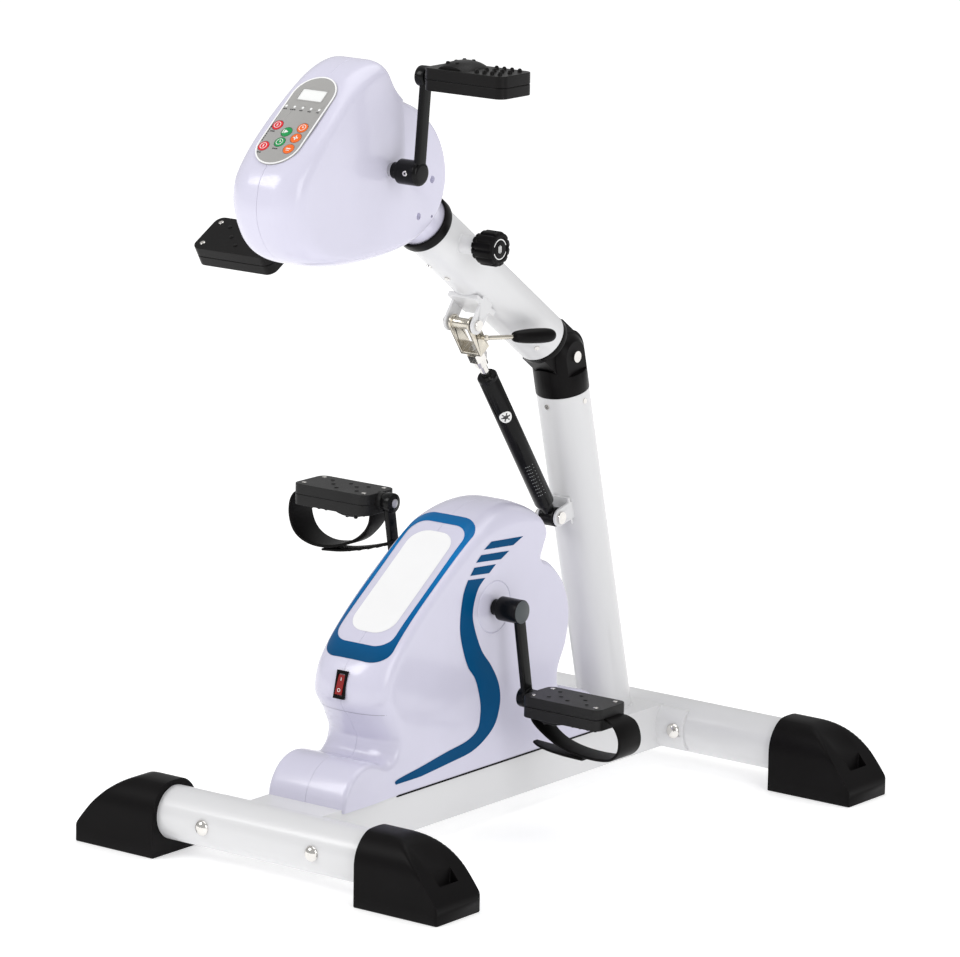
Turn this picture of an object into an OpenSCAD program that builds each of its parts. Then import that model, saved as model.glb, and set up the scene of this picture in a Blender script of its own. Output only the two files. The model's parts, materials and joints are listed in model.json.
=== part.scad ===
// Hand and foot pedal exerciser: a motor-driven foot unit on a two-foot base,
// and a second crank head on a folding arm held by a locking gas spring.
// The user sits in front (-Y) and faces +Y.  +Z is up, the floor is Z = 0.
// +X is the user's right.  Y = 0 lies midway between the two cross tubes.

/* [Base] */
// Distance between the axes of the front and rear cross tubes
base_length = 660; // [600:10:720]
// Outer diameter of the cross tubes, the mast and the arm
tube_d = 60; // [50:1:60]
// Wall thickness of the round tubes
tube_wall = 2.5; // [2:0.25:3]
// Overall width over the front feet
front_width = 498; // [460:1:540]
// Overall width over the rear feet
rear_width = 643; // [600:1:680]
// Height of the cross tube axes above the floor
tube_axis_z = 45; // [40:1:50]
// Length of one foot cap along the tube
foot_length = 110; // [95:1:120]
// Depth of one foot cap, front to back
foot_depth = 76; // [70:1:84]
// Width of the flat base rail
rail_width = 100; // [80:1:110]
// Height of the flat base rail
rail_height = 50; // [40:1:50]

/* [Mast and arm] */
// Lean of the mast from vertical, towards the user
mast_lean = 13.8; // [8:0.1:18]
// Distance of the mast's foot behind the middle of the base
mast_foot_y = 267.5; // [240:0.5:275]
// Length along the mast axis from the rail to the elbow pivot
mast_length = 438; // [400:1:480]
// Rise of the arm axis above horizontal, in the stored position
arm_rise = 36.0; // [30:0.1:45]
// Length of the arm tube along its axis, measured from the elbow to its mouth
arm_reach = 305; // [290:1:320]

/* [Gas spring] */
// Distance of both gas spring pins from the elbow pivot
pin_reach = 185; // [175:1:195]
// Angle of the upper pin below the arm axis, seen from the elbow
arm_pin_drop = 17.2; // [15:0.1:20]
// Angle of the lower pin in front of the mast axis, seen from the elbow
mast_pin_lead = 16.1; // [14:0.1:18]
// Diameter of the gas cylinder
cylinder_d = 21; // [20.5:0.5:24]
// Diameter of the polished rod
rod_d = 10; // [8:1:10]

/* [Cranks and pedals] */
// Centre distance of the foot cranks
foot_crank_length = 98; // [85:1:110]
// Centre distance of the hand cranks
hand_crank_length = 103; // [90:1:110]
// Diameter of both crank axles
axle_d = 15; // [12:1:17]
// Pedal length along the spindle
pedal_length = 105; // [95:1:110]
// Pedal depth, front to back
pedal_depth = 55; // [50:1:62]
// How far the far hand crank sits nearer to the head than the near one
left_hand_inset = 8; // [0:1:8]
// Pedal thickness, without its raised grip
pedal_thick = 24; // [20:1:26]
// Diameter of the pedal spindles
spindle_d = 12; // [10:1:14]

/* [Foot unit] */
// Wall thickness of the moulded casings
shell_wall = 2.5; // [2:0.25:3]
// Height of the foot crank axle
foot_axle_z = 245; // [240:1:250]
// Radius of the driven belt pulley
pulley_r = 44; // [36:1:50]
// Radius of the motor pulley
motor_pulley_r = 11; // [9:1:14]

/* [Head] */
// Height of the hand crank axle
hand_axle_z = 753; // [748:1:758]
// Length of the oval console plate
console_length = 125; // [110:1:130]
// Width of the oval console plate
console_width = 56; // [50:1:60]
// Diameter of the console keys
key_d = 13; // [10:0.5:13]

/* [Hidden] */
$fn = 48;
smooth_steps = 3;        // points made between two anchors of a casing outline
clear = 0.3;             // gap between parts that move past each other
fit_gap = 0.05;          // radial play of a shaft in its bore
eps = 0.01;

tube_r = tube_d / 2;
bore_r = tube_r - tube_wall;
front_y = -base_length / 2;
rear_y = base_length / 2;
rail_top = tube_axis_z + rail_height / 2;
foot_socket = foot_length / 2 - 5;
bolt_x = 75.5;           // stabiliser bolts, either side of the rail
saddle_x = 88;           // half width of the welded saddle plates

// Elbow pivot and the two gas spring pins, as [y, z]
elbow = [mast_foot_y - mast_length * sin(mast_lean), rail_top + mast_length * cos(mast_lean)];
arm_pin_angle = 180 - (arm_rise - arm_pin_drop);
mast_pin_angle = 270 + mast_lean - mast_pin_lead;
arm_pin = elbow + pin_reach * [cos(arm_pin_angle), sin(arm_pin_angle)];
mast_pin = elbow + pin_reach * [cos(mast_pin_angle), sin(mast_pin_angle)];
// Equal arms: the spring leans by the mean of both pin angles, whatever the fold
spring_lean = (arm_pin_angle + mast_pin_angle) / 2 - 180;
spring_length = 2 * pin_reach * sin((mast_pin_angle - arm_pin_angle) / 2);

// Arm stations, measured from the elbow along the arm axis
arm_start = 42;
knob_s = 266;
collar_s = [arm_reach - 4, arm_reach + 9];
neck_s = arm_reach + 1;
head_tube_s = [160, 395];
neck_r = tube_r - 0.5;
head_tube_r = bore_r - clear;

// Crank axles, as [y, z], and the crank turns in degrees about +X from straight up
foot_axle_pos = [-14, foot_axle_z];
hand_axle_pos = [-202, hand_axle_z];
foot_crank_turn = 5;
axle_r = axle_d / 2;
hub_x = [60, 89];        // hub barrel of every crank
crank_in = 80.5;         // inner face of a crank's flat arm, at its hub
crank_thick = 7.5;
crank_width = 14.5;
foot_splay = 7.5;        // how far a crank leans outwards over its length
hand_splay = 3.5;
barrel_x = 97;           // inner end of every pedal's barrel
pedal_x = 103;           // inner end of every pedal's block
hand_crank_turn = -3;    // the right hand crank stands almost upright
hand_pedal_turn = 30;    // the left hand pedal hangs nose down

// Console plane: a point at its middle as [y, z], and its slope
console_mid = [-302.6, 811];
console_slope = 39.9;
key_rows = [ // name order is kept by the key modules: x, distance up the plane
    [-18.6, -9.5], [-18.6, -39.5], [-2, -17], [-2, -31.5], [14.5, -9], [14.5, -23.5], [14.5, -39]];

leg_floor = rail_top + 3.5;

// Leg casing outline from the front of its waist, over the top, to its back.
// Each row: y, z, half width, side rounding, depth of that rounding
leg_rows = [
    [-172, leg_floor, 50, 20, 8], [-172, 104, 50, 24, 10], [-179, 124, 50, 32, 14],
    [-202, 146, 51, 44, 22], [-220, 170, 52, 48, 25], [-214, 202, 52, 46, 25],
    [-190, 228, 51, 32, 18], [-150, 257.6, 50, 14, 12], [-100, 294, 50, 12, 10],
    [-55, 327, 50, 14, 12], [-30, 343, 48, 24, 14], [8, 353, 47, 40, 20],
    [45, 351, 47, 38, 20], [76, 336, 48, 30, 14], [87, 314, 49, 24, 9],
    [78, 295, 50, 20, 7], [74, 284, 51, 18, 6], [95, 275, 52, 16, 8],
    [119, 249, 53, 16, 8], [130, 215, 53, 16, 8], [125, 180, 53, 16, 8],
    [106, 150, 52, 16, 8], [97, 118, 51, 14, 6], [97, leg_floor, 51, 12, 5]];
leg_middle = [-20, 220];
front_hood = [-234, 66, 44.5]; // y, z, radius of the hood over the front of the rail
rear_hood = [146, 70, 50];
hood_x = 52;

// Head casing outline, closed, from its chin round the nose and over the top
head_rows = [
    [-346, 678, 45, 38, 26], [-364, 706, 46, 38, 30], [-367, 735, 47, 34, 26],
    [-355, 766, 49, 20, 14], [-304, 809, 50, 14, 10], [-253, 851.8, 49, 20, 14],
    [-214, 869, 48, 32, 20], [-196, 862, 47, 28, 14], [-184, 838, 46, 20, 8],
    [-168, 823, 43, 18, 7], [-140, 810, 42, 18, 8], [-112, 786, 42, 18, 8],
    [-96, 755, 42, 18, 8], [-94, 722, 42, 18, 8], [-110, 690, 42, 18, 8],
    [-150, 668, 46, 20, 10], [-210, 658, 49, 24, 12], [-270, 656, 49, 30, 14],
    [-316, 662, 47, 36, 18]];
head_middle = [-230, 755];

// Foot strap path below the pedal axis, as [x, z], from the outer end to the inner
strap_path = [
    [209.6, -4], [220, -12], [224, -28], [219, -43], [203, -52],
    [175, -56], [145, -52], [123, -42], [112, -29], [110, -16]];
strap_thick = 3;
strap_width = 40;

// ---------------------------------------------------------------- outlines

// One Catmull-Rom step between rows b and c
function blend_rows(a, b, c, d, t) =
    0.5 * (2 * b + (c - a) * t + (2 * a - 5 * b + 4 * c - d) * t * t + (3 * b - a - 3 * c + d) * t * t * t);

// An open list of rows, smoothed
function smooth_open(rows) = let (last = len(rows) - 1) [
    for (i = [0 : last - 1], k = [0 : smooth_steps - 1])
        blend_rows(rows[max(i - 1, 0)], rows[i], rows[i + 1], rows[min(i + 2, last)], k / smooth_steps),
    rows[last]];

// A closed list of rows, smoothed
function smooth_closed(rows) = let (n = len(rows)) [
    for (i = [0 : n - 1], k = [0 : smooth_steps - 1])
        blend_rows(rows[(i + n - 1) % n], rows[i], rows[(i + 1) % n], rows[(i + 2) % n], k / smooth_steps)];

// Outward direction at row i of an outline that runs clockwise, seen from +X
function outward(rows, i, closed) =
    let (n = len(rows),
         a = closed ? rows[(i + n - 1) % n] : rows[max(i - 1, 0)],
         b = closed ? rows[(i + 1) % n] : rows[min(i + 1, n - 1)],
         flat = !closed && (i == 0 || i == n - 1),
         d = [b[0] - a[0], b[1] - a[1]])
    flat ? [i == 0 ? -1 : 1, 0] : [-d[1], d[0]] / norm(d);

// Points of one ring of a casing half: turn 0 is at the seam, 90 at the side face
function casing_ring(rows, closed, turn, wall) = [
    for (i = [0 : len(rows) - 1])
        let (row = rows[i], n = outward(rows, i, closed), inset = row[4] * (1 - cos(turn)) + wall)
        [row[2] - row[3] + (row[3] - wall) * sin(turn), row[0] - n[0] * inset, row[1] - n[1] * inset]];

// Solid half of a casing, from x = start outwards; wall > 0 gives its inner space
module casing_half(rows, closed, middle, wall, start) {
    n = len(rows);
    seam = [for (p = casing_ring(rows, closed, 0, wall)) [start, p[1], p[2]]];
    rings = [seam, for (turn = [0 : 22.5 : 90]) casing_ring(rows, closed, turn, wall)];
    side_x = max([for (p = rings[len(rings) - 1]) p[0]]);
    points = [for (ring = rings, p = ring) p, [start, middle[0], middle[1]], [side_x, middle[0], middle[1]]];
    last = (len(rings) - 1) * n;
    hub = len(rings) * n;
    faces = [
        for (k = [0 : len(rings) - 2], i = [0 : n - 1])
            let (j = (i + 1) % n, a = k * n) each [[a + i, a + j, a + n + j], [a + i, a + n + j, a + n + i]],
        for (i = [0 : n - 1]) let (j = (i + 1) % n) each [[hub, j, i], [hub + 1, last + i, last + j]]];
    polyhedron(points, faces, convexity = 6);
}

// Band of even thickness along a path of [x, z] points
function path_side(path, i) =
    let (d = path[min(i + 1, len(path) - 1)] - path[max(i - 1, 0)]) [-d[1], d[0]] / norm(d);
module band(path, thick) {
    polygon([
        for (i = [0 : len(path) - 1]) path[i] + path_side(path, i) * thick / 2,
        for (i = [len(path) - 1 : -1 : 0]) path[i] - path_side(path, i) * thick / 2]);
}

// ---------------------------------------------------------------- placing

module on_mast(s) {
    translate([0, mast_foot_y, rail_top]) rotate([mast_lean, 0, 0]) translate([0, 0, s]) children();
}
module on_arm(s) {
    translate([0, elbow[0], elbow[1]]) rotate([90 - arm_rise, 0, 0]) translate([0, 0, s]) children();
}
// Frame of the gas spring: z runs from the lower pin to the upper one
module on_spring(s) {
    translate([0, mast_pin[0], mast_pin[1]]) rotate([spring_lean, 0, 0]) translate([0, 0, s]) children();
}
module on_console(x, up, out) {
    translate([0, console_mid[0], console_mid[1]]) rotate([console_slope, 0, 0])
        translate([x, up, out]) children();
}
// Cylinder along X between two places
module x_rod(r, from, to, y = 0, z = 0) {
    translate([from, y, z]) rotate([0, 90, 0]) cylinder(r = r, h = to - from);
}
module tube(r_out, r_in, h) {
    difference() {
        cylinder(r = r_out, h = h);
        translate([0, 0, -1]) cylinder(r = r_in, h = h + 2);
    }
}
// Rounded plate in the YZ plane: an ear from a root edge to a round end
module ear(r, length, x, thick) {
    translate([x, 0, 0]) rotate([90, 0, 90]) linear_extrude(thick) union() {
        circle(r);
        translate([0, -r]) square([length, 2 * r]);
    }
}

// ---------------------------------------------------------------- base

module stabiliser(y, width) {
    inside = width / 2 - foot_length + foot_socket;
    difference() {
        x_rod(tube_r, -inside, inside, y, tube_axis_z);
        x_rod(bore_r, -inside - 1, inside + 1, y, tube_axis_z);
        for (x = [-bolt_x, bolt_x]) translate([x, y - tube_r - 1, tube_axis_z])
            rotate([-90, 0, 0]) cylinder(r = 4.2, h = tube_d + 2);
    }
}
module front_stabiliser() { color("white") stabiliser(front_y, front_width); }
module rear_stabiliser() { color("white") stabiliser(rear_y, rear_width); }

// Side outline of a foot cap from its outer lip inwards, x measured back from the outer end
foot_top = tube_axis_z + foot_depth / 2 - 2;
foot_slope = [for (t = [0 : 0.1 : 1]) [-1 - 76 * t - 6 * t * (1 - t), 20 + (foot_top - 20) * sin(90 * t) ^ 0.92]];

// Foot cap at the right end of a tube: an arch along X, sloped down outwards
module foot_cap(width) {
    r = foot_depth / 2;
    difference() {
        intersection() {
            translate([width / 2 - foot_length, 0, 0]) rotate([90, 0, 90]) linear_extrude(foot_length) union() {
                translate([0, tube_axis_z]) circle(r);
                translate([-r, 0]) square([foot_depth, tube_axis_z]);
            }
            translate([width / 2, r + 1, 0]) rotate([90, 0, 0]) linear_extrude(foot_depth + 2)
                polygon([[-foot_length - 1, -1], [0, -1], [0, 16], each foot_slope,
                    [-foot_length - 1, foot_top]]);
        }
        translate([width / 2 - foot_length - 1, 0, 0])
            x_rod(tube_r, 0, foot_socket + 1, 0, tube_axis_z);
        translate([width / 2 - 30, -10, 46]) rotate([0, 38, 0]) cube([8, 20, 30]);
    }
}
module foot_at(y, width, side) {
    translate([0, y, 0]) mirror([side < 0 ? 1 : 0, 0, 0]) foot_cap(width);
}
module front_left_foot() { color("#1b1b1b") foot_at(front_y, front_width, -1); }
module front_right_foot() { color("#1b1b1b") foot_at(front_y, front_width, 1); }
module rear_left_foot() { color("#1b1b1b") foot_at(rear_y, rear_width, -1); }
module rear_right_foot() { color("#1b1b1b") foot_at(rear_y, rear_width, 1); }

// Flat rail with curved saddle plates welded to both ends
module base_rail() {
    color("white") difference() {
        union() {
            translate([-rail_width / 2, front_y, rail_top - rail_height])
                cube([rail_width, base_length, rail_height]);
            for (side = [-1, 1]) intersection() {
                x_rod(tube_r + 3, -saddle_x, saddle_x, side * rear_y, tube_axis_z);
                translate([-saddle_x, side > 0 ? rear_y - tube_r - 4 : front_y + 16, tube_axis_z - 24])
                    cube([2 * saddle_x, tube_r - 12, 48]);
            }
        }
        translate([-rail_width / 2 + tube_wall, front_y - 1, rail_top - rail_height + tube_wall])
            cube([rail_width - 2 * tube_wall, base_length + 2, rail_height - 2 * tube_wall]);
        for (side = [-1, 1]) {
            x_rod(tube_r, -saddle_x - 1, saddle_x + 1, side * rear_y, tube_axis_z);
            for (x = [-bolt_x, bolt_x]) translate([x, side * (rear_y - tube_r - 6), tube_axis_z])
                rotate([side > 0 ? -90 : 90, 0, 0]) translate([0, 0, -6]) cylinder(r = 4.2, h = 24);
        }
    }
}

// Screw along +Y with a domed head in front and a domed nut behind
module stabiliser_bolt(front, back) {
    translate([0, front, 0]) rotate([-90, 0, 0]) cylinder(r = 4, h = back - front);
    for (end = [[front, 90], [back, -90]]) translate([0, end[0], 0]) rotate([end[1], 0, 0])
        rotate_extrude() intersection() {
            translate([0, -1]) scale([1, 0.75]) circle(9);
            square([9, 8]);
        }
}
module stabiliser_bolts() {
    color("silver") for (x = [-bolt_x, bolt_x]) {
        translate([x, front_y, tube_axis_z]) stabiliser_bolt(-tube_r, tube_r + 3);
        translate([x, rear_y, tube_axis_z]) stabiliser_bolt(-tube_r - 3, tube_r);
    }
}

// ---------------------------------------------------------------- mast

mast_cap_s = mast_length - 42.5;
mast_screw_s = mast_cap_s - 10.5;
module mast_tube() {
    color("white") difference() {
        on_mast(-20) tube(tube_r, bore_r, mast_cap_s + 20);
        translate([-tube_d, mast_foot_y - tube_d, rail_top - 60]) cube([2 * tube_d, 2 * tube_d, 60]);
        on_mast(0) mast_screw_row(3 + fit_gap);
    }
}

fork_in = 16;
fork_out = 25;
cheek_drop = 19;         // how far below the pivot the flat cheeks of the cap begin
tongue_r = 29;
tongue_half = 27;
fold_low = 90 - mast_lean - arm_rise + 7; // lean of the arm from the mast when it is folded down
// Black fitting: a plug in the mast and a domed body, flattened at both sides of the
// elbow and hollowed for the round tongue of the arm
module mast_cap() {
    color("#161616") on_mast(0) difference() {
        union() {
            translate([0, 0, mast_cap_s - 36]) cylinder(r = bore_r, h = 37);
            intersection() {
                union() {
                    translate([0, 0, mast_cap_s]) cylinder(r = tube_r + 0.4, h = mast_length - mast_cap_s);
                    translate([0, 0, mast_length]) sphere(tube_r + 0.4);
                }
                union() {
                    translate([-tube_d, -tube_d, 0]) cube([2 * tube_d, 2 * tube_d, mast_length - cheek_drop]);
                    translate([-fork_out, -tube_d, mast_cap_s]) cube([2 * fork_out, 2 * tube_d, tube_d + 20]);
                }
            }
        }
        x_rod(5, -50, 50, 0, mast_length);
        translate([0, 0, mast_cap_s - 40]) cylinder(r = bore_r - 4, h = 44);
        x_rod(tongue_r + clear, -fork_in, fork_in, 0, mast_length);
        for (turn = [0, fold_low]) translate([-fork_in, 0, mast_length]) rotate([turn, 0, 0])
            translate([0, -tongue_half - clear, 0]) cube([2 * fork_in, 2 * (tongue_half + clear), tube_d]);
        mast_screw_row(3 + fit_gap);
    }
}

// Small U bracket on the front of the mast for the lower spring pin
module mast_bracket() {
    color("white") translate([0, mast_pin[0], mast_pin[1]]) rotate([mast_lean, 0, 0]) difference() {
        root = pin_reach * sin(mast_pin_lead) - tube_r;
        union() {
            for (x = [-13.5, 10.5]) ear(10, root + 6, x, 3);
            translate([-13.5, root - 3, -16]) cube([27, 3, 32]);
        }
        x_rod(4, -30, 30);
        translate([0, root + tube_r, -40]) cylinder(r = tube_r, h = 80);
    }
}

// Through bolt with a dished head on +X and a nut on -X
module through_bolt(r, head_r, half, head_h) {
    x_rod(r, -half, half);
    x_rod(head_r, half, half + head_h);
    x_rod(head_r * 0.9, -half - head_h - 1, -half);
}
module pivot_bolts() {
    color("silver") {
        translate([0, elbow[0], elbow[1]]) through_bolt(5, 6.5, fork_out, 3);
        translate([0, mast_pin[0], mast_pin[1]]) through_bolt(4, 7, 13.5, 3);
    }
}

// Set screws that hold the plug of the cap in the mast
module mast_screw_row(r) {
    for (turn = [-92, -2, 178]) rotate([0, 0, turn]) translate([bore_r - 3, 0, mast_screw_s])
        rotate([0, 90, 0]) cylinder(r = r, h = tube_wall + 4);
}
module mast_screws() {
    color("silver") on_mast(0) mast_screw_row(3);
}

// ---------------------------------------------------------------- foot unit

module hood_half(hood, wall, start, drop) {
    intersection() {
        x_rod(hood[2] - wall, start, hood_x - wall, hood[0], hood[1]);
        translate([start - 1, hood[0] - 100, leg_floor - drop]) cube([100, 200, 100]);
    }
}

// Inner space of the casing rows, carried on below the floor line so that it is open there
function dropped(rows, drop) = [
    for (i = [0 : len(rows) - 1]) let (row = rows[i], end = i == 0 || i == len(rows) - 1)
        [row[0], end ? row[1] - drop : row[1], row[2], row[3], row[4]]];

module leg_half_shell() {
    rows = smooth_open(leg_rows);
    difference() {
        union() {
            casing_half(rows, false, leg_middle, 0, 0);
            hood_half(front_hood, 0, 0, 0);
            hood_half(rear_hood, 0, 0, 0);
        }
        union() {
            casing_half(dropped(rows, 2), false, leg_middle, shell_wall, -1);
            hood_half(front_hood, shell_wall, -1, 2);
            hood_half(rear_hood, shell_wall, -1, 2);
        }
        x_rod(axle_r + 1.5, 30, 80, foot_axle_pos[0], foot_axle_pos[1]);
        switch_pocket();
    }
}
module leg_right_shell() { color("lavender") leg_half_shell(); }
module leg_left_shell() { color("lavender") mirror([1, 0, 0]) leg_half_shell(); }

// Rocker switch: middle of its bezel as [y, z] and its backward slope
switch_mid = [-217, 188];
switch_slope = 76.4;
module on_switch() {
    translate([0, switch_mid[0], switch_mid[1]]) rotate([switch_slope, 0, 0]) children();
}
module switch_pocket() {
    on_switch() union() {
        translate([-6.2, -14, -30]) cube([12.4, 28, 40]);
        translate([-7.1, -15.6, 0]) cube([14.2, 31.2, 10]);
    }
}
module switch_bezel() {
    color("#181818") on_switch() difference() {
        union() {
            translate([-7, -15.5, 0]) cube([14, 31, 3.5]);
            translate([-6, -13.5, -16]) cube([12, 27, 17]);
        }
        translate([-4.8, -12, -8]) cube([9.6, 24, 20]);
        x_rod(1.5, -5.9, 5.9, 0, 0);
    }
}
module power_rocker() {
    color("crimson") on_switch() union() {
        rotate([90, 0, 90]) translate([0, 0, -4.4]) linear_extrude(8.8)
            polygon([[-10.5, -3], [10.5, -3], [10.9, 2.2], [0, 3.6], [-10.9, 4.6]]);
        x_rod(1.45, -5.6, 5.6, 0, 0);
    }
}

plate_x = 34;            // inner faces of the two bearing plates
motor_pos = [50, 190];   // motor axis, as [y, z]
motor_r = 29;
belt_x = [-46.5, -38.5]; // both pulleys and the belt run outside the left plate
module chassis_side() {
    rotate([90, 0, 90]) linear_extrude(3) polygon([
        [-66, leg_floor], [84, leg_floor], [86, 205], [62, 226], [14, 268],
        [-16, 276], [-42, 262], [-50, 240]]);
}
// Steel base plate with two upright plates, bored for the bearings and the motor
module leg_chassis() {
    color("dimgray") difference() {
        union() {
            translate([-50, -186, rail_top]) cube([100, 278, leg_floor - rail_top]);
            for (x = [-plate_x - 3, plate_x]) translate([x, 0, 0]) chassis_side();
            for (x = [-plate_x - 3, plate_x - 8])
                x_rod(22, x, x + 11, foot_axle_pos[0], foot_axle_pos[1]);
            for (y = [-50, 20]) translate([-plate_x, y, 108]) rotate([0, 90, 0]) cylinder(r = 5, h = 2 * plate_x);
        }
        x_rod(17.5, -60, 60, foot_axle_pos[0], foot_axle_pos[1]);
        x_rod(9, -60, -30, motor_pos[0], motor_pos[1]);
    }
}
module leg_bearings() {
    color("silver") for (x = [-plate_x - 3, plate_x - 8])
        translate([x, foot_axle_pos[0], foot_axle_pos[1]]) rotate([0, 90, 0])
            tube(17.5, axle_r + fit_gap, 11);
}
// Geared motor between the plates, with a bored nose towards the belt
module leg_motor() {
    color("gray") translate([0, motor_pos[0], motor_pos[1]]) difference() {
        union() {
            x_rod(motor_r, -plate_x, 12);
            x_rod(motor_r - 4, 12, 26);
            x_rod(9, -plate_x - 3, -plate_x);
        }
        x_rod(4 + fit_gap, -60, 2);
    }
}
module leg_motor_pulley() {
    color("silver") translate([0, motor_pos[0], motor_pos[1]]) union() {
        x_rod(4, belt_x[0] - 1, 0);
        x_rod(motor_pulley_r, belt_x[0], belt_x[1]);
    }
}
module foot_pulley() {
    color("#303030") translate([0, foot_axle_pos[0], foot_axle_pos[1]]) difference() {
        union() {
            x_rod(pulley_r, belt_x[0], belt_x[1]);
            x_rod(14, belt_x[1], belt_x[1] + 1);
        }
        x_rod(axle_r, -60, -20);
        for (turn = [0 : 60 : 300]) rotate([turn, 0, 0]) x_rod(7, -60, -20, 0, 28);
    }
}
// Outline of a belt round both pulleys, grown by a margin
module belt_outline(margin) {
    hull() {
        translate(foot_axle_pos) circle(pulley_r + margin);
        translate(motor_pos) circle(motor_pulley_r + margin);
    }
}
module leg_belt() {
    color("#101010") translate([belt_x[0] + 0.5, 0, 0]) rotate([90, 0, 90])
        linear_extrude(belt_x[1] - belt_x[0] - 1) difference() {
            belt_outline(clear + 2);
            belt_outline(clear);
        }
}
module power_board() {
    color("seagreen") union() {
        translate([-30, -150, 90]) cube([60, 70, 1.6]);
        for (x = [-24, 24], y = [-144, -86]) translate([x, y, leg_floor]) cylinder(r = 3, h = 90 - leg_floor);
        translate([-24, -142, 91.6]) cube([20, 26, 18]);
        translate([6, -120, 91.6]) cube([18, 30, 14]);
    }
}

// ---------------------------------------------------------------- cranks

// Crank for the right side, arm along +Z from the axle at the origin
module crank(length, splay) {
    out = crank_in + crank_thick + splay;
    difference() {
        union() {
            x_rod(13.5, hub_x[0], hub_x[1]);
            translate([0, crank_width / 2, 0]) rotate([90, 0, 0]) linear_extrude(crank_width) polygon([
                [crank_in, 0], [crank_in + crank_thick, 0], [out, length], [out - crank_thick, length]]);
            x_rod(11.2, out - 11.5, out, 0, length);
            x_rod(spindle_d / 2, out - 2, pedal_x + pedal_length - 8, 0, length);
            x_rod(9, out - 0.5, barrel_x - 0.5, 0, length);
        }
        x_rod(axle_r, hub_x[0] - 1, hub_x[1] - 4);
    }
}
module crank_at(pos, turn, side, length, splay, inset = 0) {
    mirror([side < 0 ? 1 : 0, 0, 0]) translate([-inset, pos[0], pos[1]]) rotate([turn, 0, 0])
        crank(length, splay);
}
module foot_axle() {
    color("silver") x_rod(axle_r, -hub_x[1] + 4, hub_x[1] - 4, foot_axle_pos[0], foot_axle_pos[1]);
}
module hand_axle() {
    color("silver")
        x_rod(axle_r, -hub_x[1] + 4 + left_hand_inset, hub_x[1] - 4, hand_axle_pos[0], hand_axle_pos[1]);
}
module left_foot_crank() {
    color("#141414") crank_at(foot_axle_pos, foot_crank_turn, -1, foot_crank_length, foot_splay);
}
module right_foot_crank() {
    color("#141414") crank_at(foot_axle_pos, 180 + foot_crank_turn, 1, foot_crank_length, foot_splay);
}
module left_hand_crank() {
    color("#141414")
        crank_at(hand_axle_pos, 180 + hand_crank_turn, -1, hand_crank_length, hand_splay, left_hand_inset);
}
module right_hand_crank() {
    color("#141414") crank_at(hand_axle_pos, hand_crank_turn, 1, hand_crank_length, hand_splay);
}

// End of a crank, as [y, z]
function crank_end(pos, turn, length) = pos + length * [-sin(turn), cos(turn)];

// Pedal on the right side of its spindle: a barrel, and a block with cut corners that
// lies further to +Z than to -Z, with a raised grip on its +Z face near the crank.
module pedal() {
    y = pedal_depth / 2;
    low = -10;
    high = low + pedal_thick;
    edge = 3;
    corner = 9;
    end = pedal_x + pedal_length;
    difference() {
        union() {
            x_rod(10.5, barrel_x, pedal_x + 1);
            intersection() {
                translate([pedal_x, 0, 0]) rotate([90, 0, 90]) linear_extrude(pedal_length) polygon([
                    [-y + edge, low], [y - edge, low], [y, low + edge], [y, high - edge],
                    [y - edge, high], [-y + edge, high], [-y, high - edge], [-y, low + edge]]);
                translate([0, 0, low - 1]) linear_extrude(pedal_thick + 2) polygon([
                    [pedal_x, corner - y], [pedal_x, y - corner], [pedal_x + corner, y], [end - corner, y],
                    [end, y - corner], [end, corner - y], [end - corner, -y], [pedal_x + corner, -y]]);
            }
            translate([pedal_x + 10, y - 8, high]) rotate([90, 0, 0]) linear_extrude(pedal_depth - 16)
                polygon([[0, -1], [46, -1], [36, 7], [12, 8]]);
        }
        x_rod(spindle_d / 2 + fit_gap, barrel_x - 1, end - 6);
    }
}
module pedal_at(pos, turn, side, inset = 0) {
    mirror([side < 0 ? 1 : 0, 0, 0]) translate([-inset, pos[0], pos[1]]) rotate([turn, 0, 0]) pedal();
}
left_foot_end = crank_end(foot_axle_pos, foot_crank_turn, foot_crank_length);
right_foot_end = crank_end(foot_axle_pos, 180 + foot_crank_turn, foot_crank_length);
left_hand_end = crank_end(hand_axle_pos, 180 + hand_crank_turn, hand_crank_length);
right_hand_end = crank_end(hand_axle_pos, hand_crank_turn, hand_crank_length);
module left_foot_pedal() { color("#333333") pedal_at(left_foot_end, 180, -1); }
module right_foot_pedal() { color("#333333") pedal_at(right_foot_end, 180, 1); }
module left_hand_pedal() {
    color("#1c1c1c") pedal_at(left_hand_end, 180 + hand_pedal_turn, -1, left_hand_inset);
}
module right_hand_pedal() { color("#1c1c1c") pedal_at(right_hand_end, 0, 1); }

// Strap loop that hangs under a foot pedal
module strap_at(pos, side) {
    mirror([side < 0 ? 1 : 0, 0, 0]) translate([0, pos[0] + strap_width / 2, pos[1]])
        rotate([90, 0, 0]) linear_extrude(strap_width) band(strap_path, strap_thick);
}
module left_foot_strap() { color("#121212") strap_at(left_foot_end, -1); }
module right_foot_strap() { color("#121212") strap_at(right_foot_end, 1); }

// ---------------------------------------------------------------- arm

module arm_tube() {
    color("white") on_arm(0) difference() {
        union() {
            translate([0, 0, arm_start]) cylinder(r = tube_r, h = arm_reach - arm_start);
            x_rod(10, tube_r - 6, tube_r + 19.5, 0, knob_s);
        }
        translate([0, 0, arm_start - 1]) cylinder(r = bore_r, h = arm_reach - arm_start + 2);
        x_rod(4 + fit_gap, 0, tube_r + 21, 0, knob_s);
        arm_screw_row(3 + fit_gap, 3);
    }
}
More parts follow.
